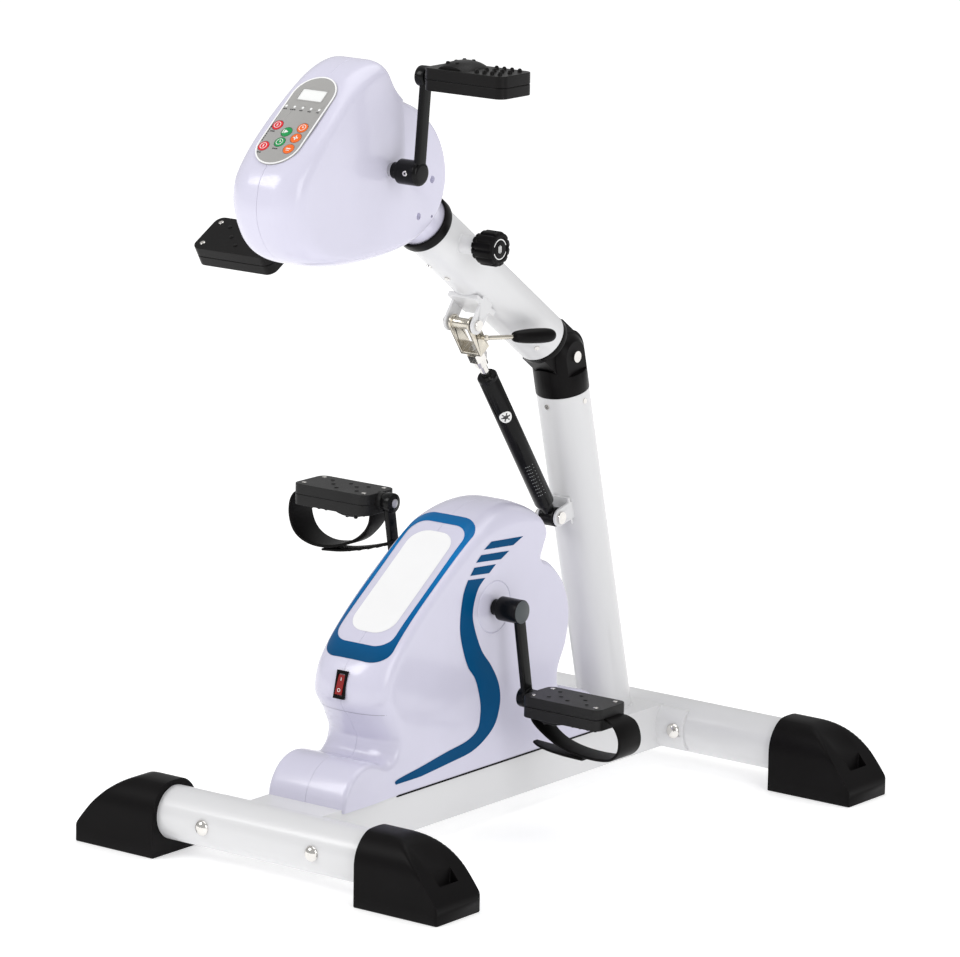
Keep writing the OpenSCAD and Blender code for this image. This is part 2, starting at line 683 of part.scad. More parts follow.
// Black plug of the arm, with the tongue that turns between the ears of the mast cap
module arm_cap() {
    color("#161616") on_arm(0) difference() {
        union() {
            translate([0, 0, 34]) cylinder(r = tube_r, h = arm_start - 34);
            translate([0, 0, arm_start - 1]) cylinder(r = bore_r, h = 40);
            translate([-15.7, 0, 0]) rotate([0, 90, 0]) linear_extrude(31.4) union() {
                circle(tongue_r);
                translate([-36, -tongue_half]) square([36, 2 * tongue_half]);
            }
        }
        x_rod(5 + fit_gap, -20, 20);
        translate([0, 0, arm_start + 4]) cylinder(r = bore_r - 4, h = 40);
    }
}
// U bracket under the arm for the upper spring pin
module arm_bracket() {
    drop = pin_reach * sin(arm_pin_drop);
    color("white") on_arm(pin_reach * cos(arm_pin_drop)) difference() {
        union() {
            for (x = [-20, 17]) translate([0, -drop, 0]) ear(10, drop - tube_r + 8, x, 3);
            translate([-20, -tube_r - 3, -20]) cube([40, 6, 40]);
        }
        x_rod(3, -30, 30, -drop, 0);
        translate([0, 0, -60]) cylinder(r = tube_r, h = 120);
    }
}
module arm_collar() {
    color("#181818") on_arm(collar_s[0]) difference() {
        cylinder(r = tube_r + 3, h = collar_s[1] - collar_s[0]);
        translate([0, 0, -1]) cylinder(r = tube_r, h = 20);
    }
}
// Bolt through the bracket, and the screws on the underside of the arm
module arm_fasteners() {
    color("silver") union() {
        translate([0, arm_pin[0], arm_pin[1]]) through_bolt(3, 6, 20, 3);
        on_arm(0) arm_screw_row(3);
    }
}
module arm_screw_row(r, inwards = 0) {
    for (place = [[236, -84], [260, -104], [64, -50]])
        rotate([0, 0, place[1]]) translate([bore_r - inwards, 0, place[0]]) rotate([0, 90, 0])
            cylinder(r = r, h = tube_wall + 1.5 + inwards);
}
// Clamp knob with its threaded stud; lobes round the grip
module lock_knob() {
    color("#151515") on_arm(knob_s) difference() {
        union() {
            x_rod(4, head_tube_r + clear + 0.1, 52);
            x_rod(15, tube_r + 20, 59);
            x_rod(19.3, 58, 79);
        }
        for (turn = [0 : 30 : 330]) rotate([turn, 0, 0]) x_rod(3, 57, 80, 0, 21.3);
    }
}

// ---------------------------------------------------------------- gas spring

cylinder_s = [22, spring_length - 78];
piston_r = 8.5;
module gas_cylinder() {
    color("#141414") on_spring(0) difference() {
        union() {
            translate([0, 0, cylinder_s[0]]) cylinder(r = cylinder_d / 2, h = cylinder_s[1] - cylinder_s[0]);
            translate([0, 0, 8]) cylinder(r = 7.5, h = 16);
            x_rod(11, -9, 9);
        }
        x_rod(4 + fit_gap, -12, 12);
        translate([0, 0, cylinder_s[0] + 3]) cylinder(r = piston_r, h = cylinder_s[1] - cylinder_s[0] - 9);
        translate([0, 0, cylinder_s[1] - 20]) cylinder(r = rod_d / 2 + clear, h = 30);
    }
}
// Polished rod with its piston, and the black nuts at its upper end
module gas_rod() {
    piston_s = 52;
    color("silver") on_spring(0) union() {
        translate([0, 0, piston_s]) cylinder(r = rod_d / 2, h = spring_length - 36 - piston_s);
        translate([0, 0, piston_s]) cylinder(r = piston_r - fit_gap, h = 10);
        translate([0, 0, spring_length - 52]) cylinder(r = 11, h = 11, $fn = 6);
        translate([0, 0, spring_length - 61]) cylinder(r = 8, h = 9);
    }
}
// Plated stirrup round the rod's end, hung on the upper pin
module release_head() {
    color("goldenrod") on_spring(spring_length) difference() {
        union() {
            for (x = [-14, 11]) rotate([90, 0, 0]) rotate([0, 90, 0]) translate([0, 0, x])
                linear_extrude(3) union() {
                    circle(9);
                    translate([-9, -38]) square([18, 38]);
                }
            translate([-14, -9, -40]) cube([28, 18, 4]);
            x_rod(6, -11, 11);
        }
        x_rod(3 + fit_gap, -20, 20);
        translate([0, 0, -50]) cylinder(r = rod_d / 2, h = 15);
    }
}
lever_root = [20, arm_pin[0] + 16, arm_pin[1] - 16];
lever_tip = [52, lever_root[1] + 83, lever_root[2] - 4.5];
module along_lever(from, to) {
    d = lever_tip - lever_root;
    translate(lever_root + d * from) rotate([0, acos(d[2] / norm(d)), atan2(d[1], d[0])])
        linear_extrude(norm(d) * (to - from)) children();
}
// Bent release rod, from a cross pin in the stirrup out beside the arm
module release_lever() {
    color("silver") union() {
        along_lever(0, 0.46) circle(2.5);
        translate(lever_root) sphere(3.6);
        x_rod(2.5, 14.3, 20, lever_root[1], lever_root[2]);
    }
}
module lever_grip() {
    color("#141414") union() {
        difference() {
            along_lever(0.4, 0.94) circle(8.5);
            along_lever(0.39, 0.461) circle(2.5 + fit_gap);
        }
        along_lever(0.93, 1) circle(6);
    }
}

// ---------------------------------------------------------------- head

module head_half_shell() {
    rows = smooth_closed(head_rows);
    difference() {
        union() {
            casing_half(rows, true, head_middle, 0, 0);
            neck(neck_r, neck_s, 0);
        }
        union() {
            casing_half(rows, true, head_middle, shell_wall, -1);
            neck(head_tube_r, neck_s - 1, -1);
        }
        x_rod(axle_r + 1.5, 20, 80, hand_axle_pos[0], hand_axle_pos[1]);
        on_console(0, 0, -12) linear_extrude(20) oval(console_length - 3, console_width - 3);
        on_console(0, 0, 0) linear_extrude(10) oval(console_length + 0.2, console_width + 0.2);
    }
}
// Right half of the round neck that enters the arm's collar
module neck(r, from, start) {
    intersection() {
        on_arm(from) cylinder(r = r, h = 352 - from);
        translate([start, -500, 0]) cube([100, 700, 1200]);
    }
}
module head_right_shell() { color("lavender") head_half_shell(); }
module head_left_shell() { color("lavender") mirror([1, 0, 0]) head_half_shell(); }

module head_tube() {
    color("silver") on_arm(head_tube_s[0]) tube(head_tube_r, head_tube_r - 2.5, head_tube_s[1] - head_tube_s[0]);
}

module oval(length, width) {
    half = (length - width) / 2;
    union() {
        for (up = [-half, half]) translate([0, up]) circle(d = width);
        translate([-width / 2, -half]) square([width, 2 * half]);
    }
}
display_mid = [-1, 36];
light_xs = [-24, -13, -2, 9, 20];
light_up = 17.7;
module console_plate() {
    color("darkgray") on_console(0, 0, 0) difference() {
        linear_extrude(1.6) oval(console_length, console_width);
        translate([display_mid[0] - 16.5, display_mid[1] - 8, -1]) cube([33, 16, 4]);
        for (x = light_xs) translate([x, light_up, -1]) cylinder(r = 1.5, h = 4);
        for (key = key_rows) translate([key[0], key[1], -1]) cylinder(r = key_d / 2 + clear, h = 4);
    }
}
// Screen and the row of small lamps
module display() {
    color("ghostwhite") on_console(0, 0, 0) union() {
        translate([display_mid[0] - 16.5, display_mid[1] - 8, -4]) cube([33, 16, 5]);
        for (x = light_xs) translate([x, light_up, -3]) cylinder(r = 1.5, h = 4.6);
    }
}
module key(i) {
    on_console(key_rows[i][0], key_rows[i][1], -1.6) cylinder(r = key_d / 2, h = 3.8);
}
module red_upper_key() { color("crimson") key(0); }
module red_lower_key() { color("crimson") key(1); }
module green_upper_key() { color("seagreen") key(2); }
module green_lower_key() { color("seagreen") key(3); }
module orange_upper_key() { color("orangered") key(4); }
module orange_middle_key() { color("orangered") key(5); }
module orange_lower_key() { color("orangered") key(6); }

// Gearbox round the hand axle with its motor behind the chin, and a spigot plugged into the head tube
module head_gearmotor() {
    color("gray") difference() {
        union() {
            translate([-22, hand_axle_pos[0] - 42, hand_axle_pos[1] - 30]) cube([44, 76, 60]);
            x_rod(18, -34, 34, hand_axle_pos[0], hand_axle_pos[1]);
            translate([0, hand_axle_pos[0] - 96, hand_axle_pos[1] - 20])
                rotate([-90, 0, 0]) cylinder(r = 22, h = 60);
            on_arm(head_tube_s[1] - 20) cylinder(r = head_tube_r - 2.5, h = 45);
        }
        x_rod(axle_r + fit_gap, -40, 40, hand_axle_pos[0], hand_axle_pos[1]);
    }
}

// ---------------------------------------------------------------- choice

front_stabiliser();
rear_stabiliser();
base_rail();
front_left_foot();
front_right_foot();
rear_left_foot();
rear_right_foot();
stabiliser_bolts();
mast_tube();
mast_cap();
mast_bracket();
pivot_bolts();
mast_screws();
leg_left_shell();
leg_right_shell();
leg_chassis();
leg_motor();
leg_belt();
leg_bearings();
power_board();
switch_bezel();
power_rocker();
leg_motor_pulley();
foot_axle();
foot_pulley();
left_foot_crank();
right_foot_crank();
left_foot_pedal();
right_foot_pedal();
left_foot_strap();
right_foot_strap();
arm_tube();
arm_cap();
arm_bracket();
arm_collar();
arm_fasteners();
lock_knob();
gas_cylinder();
gas_rod();
release_head();
release_lever();
lever_grip();
head_left_shell();
head_right_shell();
head_tube();
console_plate();
display();
head_gearmotor();
hand_axle();
left_hand_crank();
right_hand_crank();
left_hand_pedal();
right_hand_pedal();
red_upper_key();
red_lower_key();
green_upper_key();
green_lower_key();
orange_upper_key();
orange_middle_key();
orange_lower_key();
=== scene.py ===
import json
import math

import bmesh
import bpy
from mathutils import Matrix, Vector
from mathutils.bvhtree import BVHTree
from mathutils.geometry import delaunay_2d_cdt


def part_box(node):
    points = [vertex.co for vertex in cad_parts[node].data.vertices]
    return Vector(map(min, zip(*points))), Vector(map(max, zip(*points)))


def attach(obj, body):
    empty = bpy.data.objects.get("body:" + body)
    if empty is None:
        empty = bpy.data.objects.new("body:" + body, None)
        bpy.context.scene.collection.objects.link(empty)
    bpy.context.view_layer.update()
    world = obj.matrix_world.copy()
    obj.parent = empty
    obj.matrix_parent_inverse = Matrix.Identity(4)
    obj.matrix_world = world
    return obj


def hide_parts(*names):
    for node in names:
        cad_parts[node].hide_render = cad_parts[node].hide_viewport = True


# Pedal exerciser: the looks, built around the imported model.
# Shapes are drawn in millimetres, in the frame of the model, and scaled to metres at the end.

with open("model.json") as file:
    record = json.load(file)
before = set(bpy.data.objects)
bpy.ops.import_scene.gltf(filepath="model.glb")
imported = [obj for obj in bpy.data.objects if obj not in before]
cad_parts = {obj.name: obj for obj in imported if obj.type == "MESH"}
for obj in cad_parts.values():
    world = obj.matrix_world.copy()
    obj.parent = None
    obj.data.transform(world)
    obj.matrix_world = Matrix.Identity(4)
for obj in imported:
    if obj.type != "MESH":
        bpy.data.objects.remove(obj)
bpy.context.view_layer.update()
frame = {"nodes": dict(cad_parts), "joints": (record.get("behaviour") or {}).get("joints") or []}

MM = 0.001
UP = Vector((0, 0, 1))
SIDE = Vector((1, 0, 0))
JOINTS = {j["name"]: j for j in frame["joints"]}
Z_OUTWARDS = Matrix.Rotation(math.pi / 2, 4, "Y")
UPSIDE_DOWN = Matrix.Rotation(math.pi, 4, "X")


def pivot(joint):
    """Where a hinge of the model sits, in millimetres."""
    return Vector(JOINTS[joint]["pos_m"]) / MM


def box_mm(node):
    low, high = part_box(node)
    return low / MM, high / MM


# ------ places

MAST_LEAN = math.radians(13.8)
ARM_RISE = math.radians(36.0)
CONSOLE_SLOPE = math.radians(39.9)
SWITCH_SLOPE = math.radians(76.4)
TUBE_R = 30.0

ELBOW = pivot("arm_fold")
ARM_PIN = pivot("gas_rod_tilt")
MAST_PIN = pivot("gas_cylinder_tilt")
FOOT_AXLE = pivot("foot_crank_spin")
HAND_AXLE = pivot("hand_crank_spin")
KNOB = pivot("lock_knob_turn")
ARM_AXIS = Vector((0, -math.cos(ARM_RISE), math.sin(ARM_RISE)))
MAST_AXIS = Vector((0, -math.sin(MAST_LEAN), math.cos(MAST_LEAN)))
SPRING_AXIS = (ARM_PIN - MAST_PIN).normalized()
SPRING_LENGTH = (ARM_PIN - MAST_PIN).length
CONSOLE_MID = Vector((0, -302.6, 811))
SWITCH_MID = Vector((0, -217, 188))


def placed(origin, z_axis, x_axis=SIDE):
    """A frame at origin whose z runs along z_axis and whose x is as near x_axis as it can be."""
    z = Vector(z_axis).normalized()
    y = z.cross(Vector(x_axis)).normalized()
    x = y.cross(z)
    turn = Matrix((x, y, z)).transposed().to_4x4()
    return Matrix.Translation(Vector(origin)) @ turn


def on_side(point, side):
    """A frame whose z points out of the side of the object."""
    return placed(point, (side, 0, 0), (0, side, 0))


# ------ outlines

def blend(a, b, c, d, t):
    """One Catmull-Rom step between b and c, for tuples of any length."""
    return tuple(
        0.5 * (2 * q + (r - p) * t + (2 * p - 5 * q + 4 * r - s) * t * t
               + (3 * q - p - 3 * r + s) * t ** 3)
        for p, q, r, s in zip(a, b, c, d))


def smooth(rows, steps, closed=False):
    n = len(rows)
    spans = n if closed else n - 1
    made = []
    for i in range(spans):
        if closed:
            a, b, c, d = (rows[(i + k) % n] for k in (-1, 0, 1, 2))
        else:
            a, b, c, d = (rows[min(max(i + k, 0), n - 1)] for k in (-1, 0, 1, 2))
        made += [blend(a, b, c, d, k / steps) for k in range(steps)]
    return made if closed else made + [tuple(rows[-1])]


def rounded_box(width, height, radius, steps=8, middle=(0, 0)):
    """Outline of a rectangle with round corners, anticlockwise."""
    made = []
    for i, (sx, sy) in enumerate(((1, 1), (-1, 1), (-1, -1), (1, -1))):
        cx = middle[0] + sx * (width / 2 - radius)
        cy = middle[1] + sy * (height / 2 - radius)
        for k in range(steps + 1):
            a = math.pi / 2 * (i + k / steps)
            made.append((cx + radius * math.cos(a), cy + radius * math.sin(a)))
    return made


def circle(radius, count=32, middle=(0, 0)):
    return [(middle[0] + radius * math.cos(2 * math.pi * k / count),
             middle[1] + radius * math.sin(2 * math.pi * k / count)) for k in range(count)]


def mix(a, b, t):
    return tuple(p + (q - p) * t for p, q in zip(a, b))


def step(low, high, value):
    t = min(max((value - low) / (high - low), 0), 1)
    return t * t * (3 - 2 * t)


# ------ meshes

def ring_faces(bm, a, b, closed=True):
    n = len(a)
    for i in range(n if closed else n - 1):
        j = (i + 1) % n
        bm.faces.new((a[i], a[j], b[j], b[i]))


def skin(bm, rows, closed=True):
    """Faces between rows of points with the same count. Returns the rows of vertices."""
    made = [[bm.verts.new(p) for p in row] for row in rows]
    for a, b in zip(made, made[1:]):
        ring_faces(bm, a, b, closed)
    return made


def lathe(bm, profile, place, count=48):
    """Turns (radius, height) points about the z of place. Ends with radius 0 close to a point."""
    rings = []
    for r, z in profile:
        if r < 1e-6:
            rings.append([bm.verts.new(place @ Vector((0, 0, z)))])
        else:
            rings.append([bm.verts.new(place @ Vector((x, y, z))) for x, y in circle(r, count)])
    for a, b in zip(rings, rings[1:]):
        if len(a) == 1 or len(b) == 1:
            tip, ring = (a[0], b) if len(a) == 1 else (b[0], a)
            for i in range(len(ring)):
                bm.faces.new((tip, ring[i], ring[(i + 1) % len(ring)]))
        else:
            ring_faces(bm, a, b)


def prism(bm, outline, low, high, place):
    """Straight block over an outline, with flat ends."""
    loft(bm, [[place @ Vector((x, y, z)) for x, y in outline] for z in (low, high)])


def loft(bm, rings, cap=True):
    """Skin over rings of points with the same count, with flat ends if capped."""
    made = skin(bm, rings)
    if cap:
        bm.faces.new(made[0][::-1])
        bm.faces.new(made[-1])


def sweep(bm, path, section, cap=True, side=SIDE):
    """Carries a section along a path; section(i) gives (across, out) points for path point i."""
    rings = []
    for i, p in enumerate(path):
        d = (path[min(i + 1, len(path) - 1)] - path[max(i - 1, 0)]).normalized()
        across = (side - d * side.dot(d)).normalized()
        out = d.cross(across)
        rings.append([p + across * a + out * o for a, o in section(i)])
    loft(bm, rings, cap)


def clean(bm):
    bmesh.ops.remove_doubles(bm, verts=bm.verts, dist=1e-4)
    bmesh.ops.recalc_face_normals(bm, faces=bm.faces)


def piece(name, bm, material, body, replaces=(), bevel=0.0, segments=3, divide=0, sharp=35):
    """Turns a mesh in millimetres into a piece of the object that rides on a body."""
    clean(bm)
    bmesh.ops.scale(bm, vec=(MM, MM, MM), verts=bm.verts)
    mesh = bpy.data.meshes.new(name)
    bm.to_mesh(mesh)
    bm.free()
    mesh.polygons.foreach_set("use_smooth", [True] * len(mesh.polygons))
    mesh.materials.append(material)
    thing = bpy.data.objects.new(name, mesh)
    bpy.context.scene.collection.objects.link(thing)
    if bevel:
        add_bevel(thing, bevel, segments)
    elif divide:
        thing.modifiers.new("divide", "SUBSURF").levels = divide
        thing.modifiers["divide"].render_levels = divide
    else:
        mesh.set_sharp_from_angle(angle=math.radians(sharp))
    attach(thing, body)
    if replaces:
        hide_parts(*replaces)


def add_bevel(thing, width, segments=3, angle=32):
    bevel = thing.modifiers.new("bevel", "BEVEL")
    bevel.width = width * MM
    bevel.segments = segments
    bevel.limit_method = "ANGLE"
    bevel.angle_limit = math.radians(angle)
    bevel.harden_normals = True
    bevel.use_clamp_overlap = True


# ------ materials

BUMP_DEPTH = 0.0002
SMOOTHEST = 0.02


def feed(tree, node, inputs):
    """Sets each named input of a node to a value, or links another node's output to it."""
    for name, value in inputs.items():
        if isinstance(value, bpy.types.NodeSocket):
            tree.links.new(value, node.inputs[name])
        else:
            node.inputs[name].default_value = value


def add_node(tree, kind, inputs):
    made = tree.nodes.new("ShaderNode" + kind)
    feed(tree, made, inputs)
    return made


def material(name, color, rough, metal=0.0, coat=0.0, fade=0.06, fade_size=0.05,
             grain=0.0, grain_size=0.001, rough_spread=0.08, stretch=(1, 1, 1), gleam=0.5):
    """A surface with a slow shift of shade, uneven gloss and a fine grain, all by nodes."""
    made = bpy.data.materials.new(name)
    made.use_nodes = True
    tree = made.node_tree
    place = add_node(tree, "TexCoord", {})
    scaled = add_node(tree, "Mapping", {"Vector": place.outputs["Object"], "Scale": stretch})
    slow = add_node(tree, "TexNoise", {"Vector": scaled.outputs["Vector"], "Scale": 1 / fade_size,
                                       "Detail": 4})
    ramp = add_node(tree, "ValToRGB", {"Fac": slow.outputs["Fac"]})
    for stop, position, share in zip(ramp.color_ramp.elements, (0.3, 0.7), (1 - fade, 1 + fade)):
        stop.position = position
        stop.color = (*[min(c * share, 1) for c in color], 1)
    gloss = add_node(tree, "MapRange", {"Value": slow.outputs["Fac"], "To Max": rough + rough_spread,
                                        "To Min": max(rough - rough_spread, SMOOTHEST)})
    fine = add_node(tree, "TexNoise", {"Vector": scaled.outputs["Vector"], "Scale": 1 / grain_size,
                                       "Detail": 3})
    bump = add_node(tree, "Bump", {"Height": fine.outputs["Fac"], "Strength": grain,
                                   "Distance": BUMP_DEPTH})
    feed(tree, tree.nodes["Principled BSDF"], {
        "Metallic": metal, "Coat Weight": coat, "Coat Roughness": 0.08, "Specular IOR Level": gleam,
        "Base Color": ramp.outputs["Color"], "Roughness": gloss.outputs["Result"],
        "Normal": bump.outputs["Normal"]})
    return made


def blue_film_painted_shade():
    """The blue print of the panel frame, with painted shade: bright at its top and dark lower down."""
    made = material("blue_film_painted_shade", (0.0, 0.15, 0.42), 0.25, coat=0.08, rough_spread=0.05, gleam=0.12)
    tree = made.node_tree
    place = add_node(tree, "TexCoord", {})
    split = add_node(tree, "SeparateXYZ", {"Vector": place.outputs["Object"]})
    # painted shade: the blue runs from light at the top of the frame to dark lower down, by height alone
    height = add_node(tree, "MapRange", {"Value": split.outputs["Z"], "From Min": 0.20, "From Max": 0.35})
    ramp = add_node(tree, "ValToRGB", {"Fac": height.outputs["Result"]})
    ramp.color_ramp.elements[0].color = (0.0, 0.05, 0.125, 1)
    ramp.color_ramp.elements[-1].color = (0.0, 0.11, 0.3, 1)
    for position, color in ((0.35, (0.0, 0.11, 0.31, 1)), (0.75, (0.0, 0.17, 0.46, 1))):
        ramp.color_ramp.elements.new(position).color = color
    feed(tree, tree.nodes["Principled BSDF"], {"Base Color": ramp.outputs["Color"]})
    return made


PAINT = material("white_paint", (0.73, 0.73, 0.74), 0.28, coat=0.25, fade=0.004, grain=0.02,
                 grain_size=0.0016, rough_spread=0.01)
SHELL = material("casing_plastic", (0.66, 0.645, 0.775), 0.24, coat=0.3, fade=0.012, grain=0.05,
                 grain_size=0.002, rough_spread=0.04)
BLACK = material("black_plastic", (0.0045, 0.004, 0.0042), 0.34, fade=0.25, grain=0.12,
                 grain_size=0.0008, gleam=0.09)
PEDAL_GREY = material("pedal_grey", (0.016, 0.0158, 0.0158), 0.4, fade=0.15, grain=0.35,
                      grain_size=0.0007, gleam=0.16)
PEDAL_BLACK = material("pedal_black", (0.006, 0.0055, 0.0055), 0.36, fade=0.2, grain=0.35,
                       grain_size=0.0007, gleam=0.14)
RUBBER = material("foot_rubber", (0.005, 0.0045, 0.0047), 0.4, fade=0.2, grain=0.25, gleam=0.07)
STRAP = material("strap_rubber", (0.005, 0.0045, 0.0045), 0.45, fade=0.2, grain=0.3,
                 grain_size=0.0009, gleam=0.08)
ENAMEL = material("black_enamel", (0.0045, 0.0045, 0.0048), 0.2, coat=0.05, fade=0.2, grain=0.05,
                  grain_size=0.002, gleam=0.14)
BRIGHT = material("bright_steel", (0.78, 0.76, 0.73), 0.14, metal=1.0, fade=0.05, fade_size=0.01,
                  grain=0.06, grain_size=0.0005)
PLAIN = material("plain_steel", (0.55, 0.55, 0.56), 0.32, metal=1.0, fade=0.08, grain=0.2,
                 grain_size=0.0004, stretch=(0.1, 1, 1))
NICKEL = material("plated_steel", (0.66, 0.62, 0.54), 0.22, metal=1.0, fade=0.15, fade_size=0.012,
                  grain=0.1, grain_size=0.0006)
FILM = material("panel_film", (0.36, 0.355, 0.345), 0.42, fade=0.03, grain=0.1, grain_size=0.0006)
SCREEN = material("screen", (0.9, 0.91, 0.9), 0.12, coat=0.6, fade=0.01, rough_spread=0.03)
KEY_LOOKS = {word: material("key_" + word, color, 0.4, grain=0.1, grain_size=0.0006)
             for word, color in (("red", (0.72, 0.008, 0.02)), ("green", (0.0, 0.3, 0.07)),
                                 ("orange", (0.9, 0.15, 0.008)))}
ROCKER = material("rocker_red", (0.27, 0.004, 0.004), 0.15, coat=0.5, fade=0.15, rough_spread=0.04)
INK = material("ink", (0.03, 0.03, 0.03), 0.5, fade=0.1)
LIGHT_INK = material("light_ink", (0.85, 0.85, 0.84), 0.4, fade=0.03)
WHITE_FILM = material("white_film", (0.93, 0.93, 0.93), 0.3, coat=0.2, fade=0.01, rough_spread=0.04)
BLUE = blue_film_painted_shade()
DEEP_BLUE = material("side_print", (0.0, 0.068, 0.185), 0.32, fade=0.05, rough_spread=0.05, gleam=0.04)
CAP_GREY = material("cap_grey", (0.07, 0.08, 0.085), 0.35, fade=0.1, grain=0.2, gleam=0.3)
FAINT_INK = material("faint_ink", (0.22, 0.23, 0.23), 0.4, fade=0.1)
SHADE = material("painted_shade_line", (0.3, 0.29, 0.37), 0.4, fade=0.05)
BOARD = material("circuit_board", (0.02, 0.14, 0.05), 0.35, fade=0.15, grain=0.1)
MOTOR = material("motor_case", (0.35, 0.35, 0.36), 0.35, metal=1.0, grain=0.15)
BELT = material("belt_rubber", (0.02, 0.02, 0.02), 0.6, fade=0.15, grain=0.3)

# CAD nodes that keep their shape, with their material and the width of the softened edges in mm
KEPT = (
    (PAINT, 1.2, "base_rail"), (PAINT, 0.6, "mast_bracket", "arm_bracket"),
    (BRIGHT, 0.5, "stabiliser_bolts", "arm_fasteners", "gas_rod"), (BRIGHT, 0.8, "pivot_bolts"),
    (BRIGHT, 0.4, "mast_screws"), (BLACK, 1.5, "mast_cap", "arm_cap"), (BLACK, 1.4, "arm_collar"),
    (BLACK, 0.6, "switch_bezel"), (PLAIN, 0.4, "leg_chassis", "leg_bearings", "leg_motor_pulley"),
    (PLAIN, 0.5, "foot_axle", "head_tube", "hand_axle"), (MOTOR, 0.6, "leg_motor"),
    (MOTOR, 0.8, "head_gearmotor"), (BELT, 0, "leg_belt"), (BELT, 0.5, "foot_pulley"),
    (BOARD, 0.3, "power_board"), (ROCKER, 0.5, "power_rocker"), (NICKEL, 0.8, "release_head"),
    (NICKEL, 0, "release_lever"), (FILM, 0.3, "console_plate"), (SCREEN, 0.2, "display"))


def dress_kept_nodes():
    for look, soft, *names in KEPT:
        for name in names:
            node = frame["nodes"][name]
            if not node.material_slots:
                node.data.materials.append(look)
            for place in node.material_slots:
                place.material = look
            weld = node.modifiers.new("weld", "WELD")
            weld.merge_threshold = 0.00002
            if soft:
                add_bevel(node, soft, angle=38)


# ------ casings

CASING_FLOOR = 66.0
LEG_SIDE = 51.0
SEAM_GAP = 0.04
SEAM_SOFT = 0.3
GRID = 8.0         # spacing of the points on a side face
# Outline of the foot unit from the front of its hood, over the top, to the back of its rear hood:
# y, z, side rounding, depth of that rounding
LEG_ROWS = [
    (-278.8, CASING_FLOOR, 7, 5), (-277, 78.5, 7, 5), (-270.8, 91, 7, 5), (-260.5, 102.4, 7, 5),
    (-247, 109.4, 7, 5), (-234, 111.4, 7, 5), (-221, 109.6, 8, 6), (-210, 106, 10, 7), (-201.5, 105.2, 16, 9),
    (-195.5, 108, 26, 12), (-192.5, 113, 36, 15), (-191, 118, 43, 16), (-190.2, 122, 45, 16.5),
    (-189.9, 124.6, 46, 17), (-190.6, 127, 46, 17.5), (-192.6, 130.4, 45, 18), (-196.6, 137, 44, 19),
    (-202, 146, 42, 21), (-219, 170, 46, 24), (-214, 202, 44, 24),
    (-190, 228, 30, 17), (-150, 257.6, 13, 11), (-100, 294, 12, 10),
    (-55, 327, 20, 14), (-30, 343, 34, 18), (8, 353, 42, 22),
    (45, 351, 40, 21), (76, 336, 30, 14), (87, 314, 24, 9),
    (79, 295, 20, 7), (75, 284, 18, 6), (95, 275, 16, 8),
    (119, 249, 16, 8), (130, 215, 16, 8), (125, 180, 16, 8),
    (110, 150, 14, 7), (112, 128, 12, 6), (128, 119, 9, 6), (150, 119, 8, 6),
    (178, 107, 7, 6), (193, 88, 6, 5), (196, CASING_FLOOR, 6, 5)]
HUB_GROOVE = 29.0

HEAD_ROWS = [
    (-346, 678, 38, 26), (-364, 706, 38, 30), (-367, 735, 34, 26),
    (-355, 766, 32, 22), (-304, 809, 16, 11), (-253, 851.8, 22, 15),
    (-214, 867.5, 26, 15), (-196, 861, 25, 13), (-184, 838, 20, 8),
    (-168, 823, 18, 7), (-140, 810, 18, 8), (-112, 786, 18, 8),
    (-96, 755, 18, 8), (-94, 722, 18, 8), (-110, 690, 18, 8),
    (-150, 668, 20, 10), (-210, 658, 24, 12), (-270, 656, 30, 14), (-316, 662, 36, 18)]
# Sunk screw holes in the sides of the head: y, z, radius
HEAD_HOLES = [(-122, 732, 4), (-149.5, 696, 4), (-123.5, 692.4, 1.8)]
HOLE_DEPTH = 5.0


def leg_side(y, z):
    """How far out the side of the foot unit lies at a place, with the thin groove round its hub."""
    r = math.hypot(y - FOOT_AXLE.y, z - FOOT_AXLE.z)
    groove = 0.9 * (1 - step(0.2, 1.0, abs(r - HUB_GROOVE)))
    hood = 2 * (1 - step(-225, -200, y)) * (1 - step(108, 118, z))
    return LEG_SIDE + hood - groove


def head_edge(z):
    """Where the wide front part of the head ends."""
    low = 1 - step(690, 765, z)
    return -179 - 23 * step(822, 853, z) - 18 * low


def head_side(y, z):
    """The head is wide in front and steps in behind its crank, softly towards the chin."""
    low = 1 - step(690, 765, z)
    start = head_edge(z)
    sunk = step(start, start + 4 + 95 * low, y)
    wide = 47 - 5 * step(770, 850, z)
    return wide - (wide - 40) * sunk


def outward(rows, i, closed):
    n = len(rows)
    if not closed and i in (0, n - 1):
        return (-1, 0) if i == 0 else (1, 0)
    a = rows[(i - 1) % n]
    b = rows[(i + 1) % n]
    d = (b[0] - a[0], b[1] - a[1])
    length = math.hypot(*d)
    return (-d[1] / length, d[0] / length)


def inside(point, outline):
    x, y = point
    hit = False
    for (ax, ay), (bx, by) in zip(outline, outline[1:] + outline[:1]):
        if (ay > y) != (by > y) and x < ax + (y - ay) / (by - ay) * (bx - ax):
            hit = not hit
    return hit


def edge_distance(point, outline):
    return min(math.hypot(point[0] - p[0], point[1] - p[1]) for p in outline)


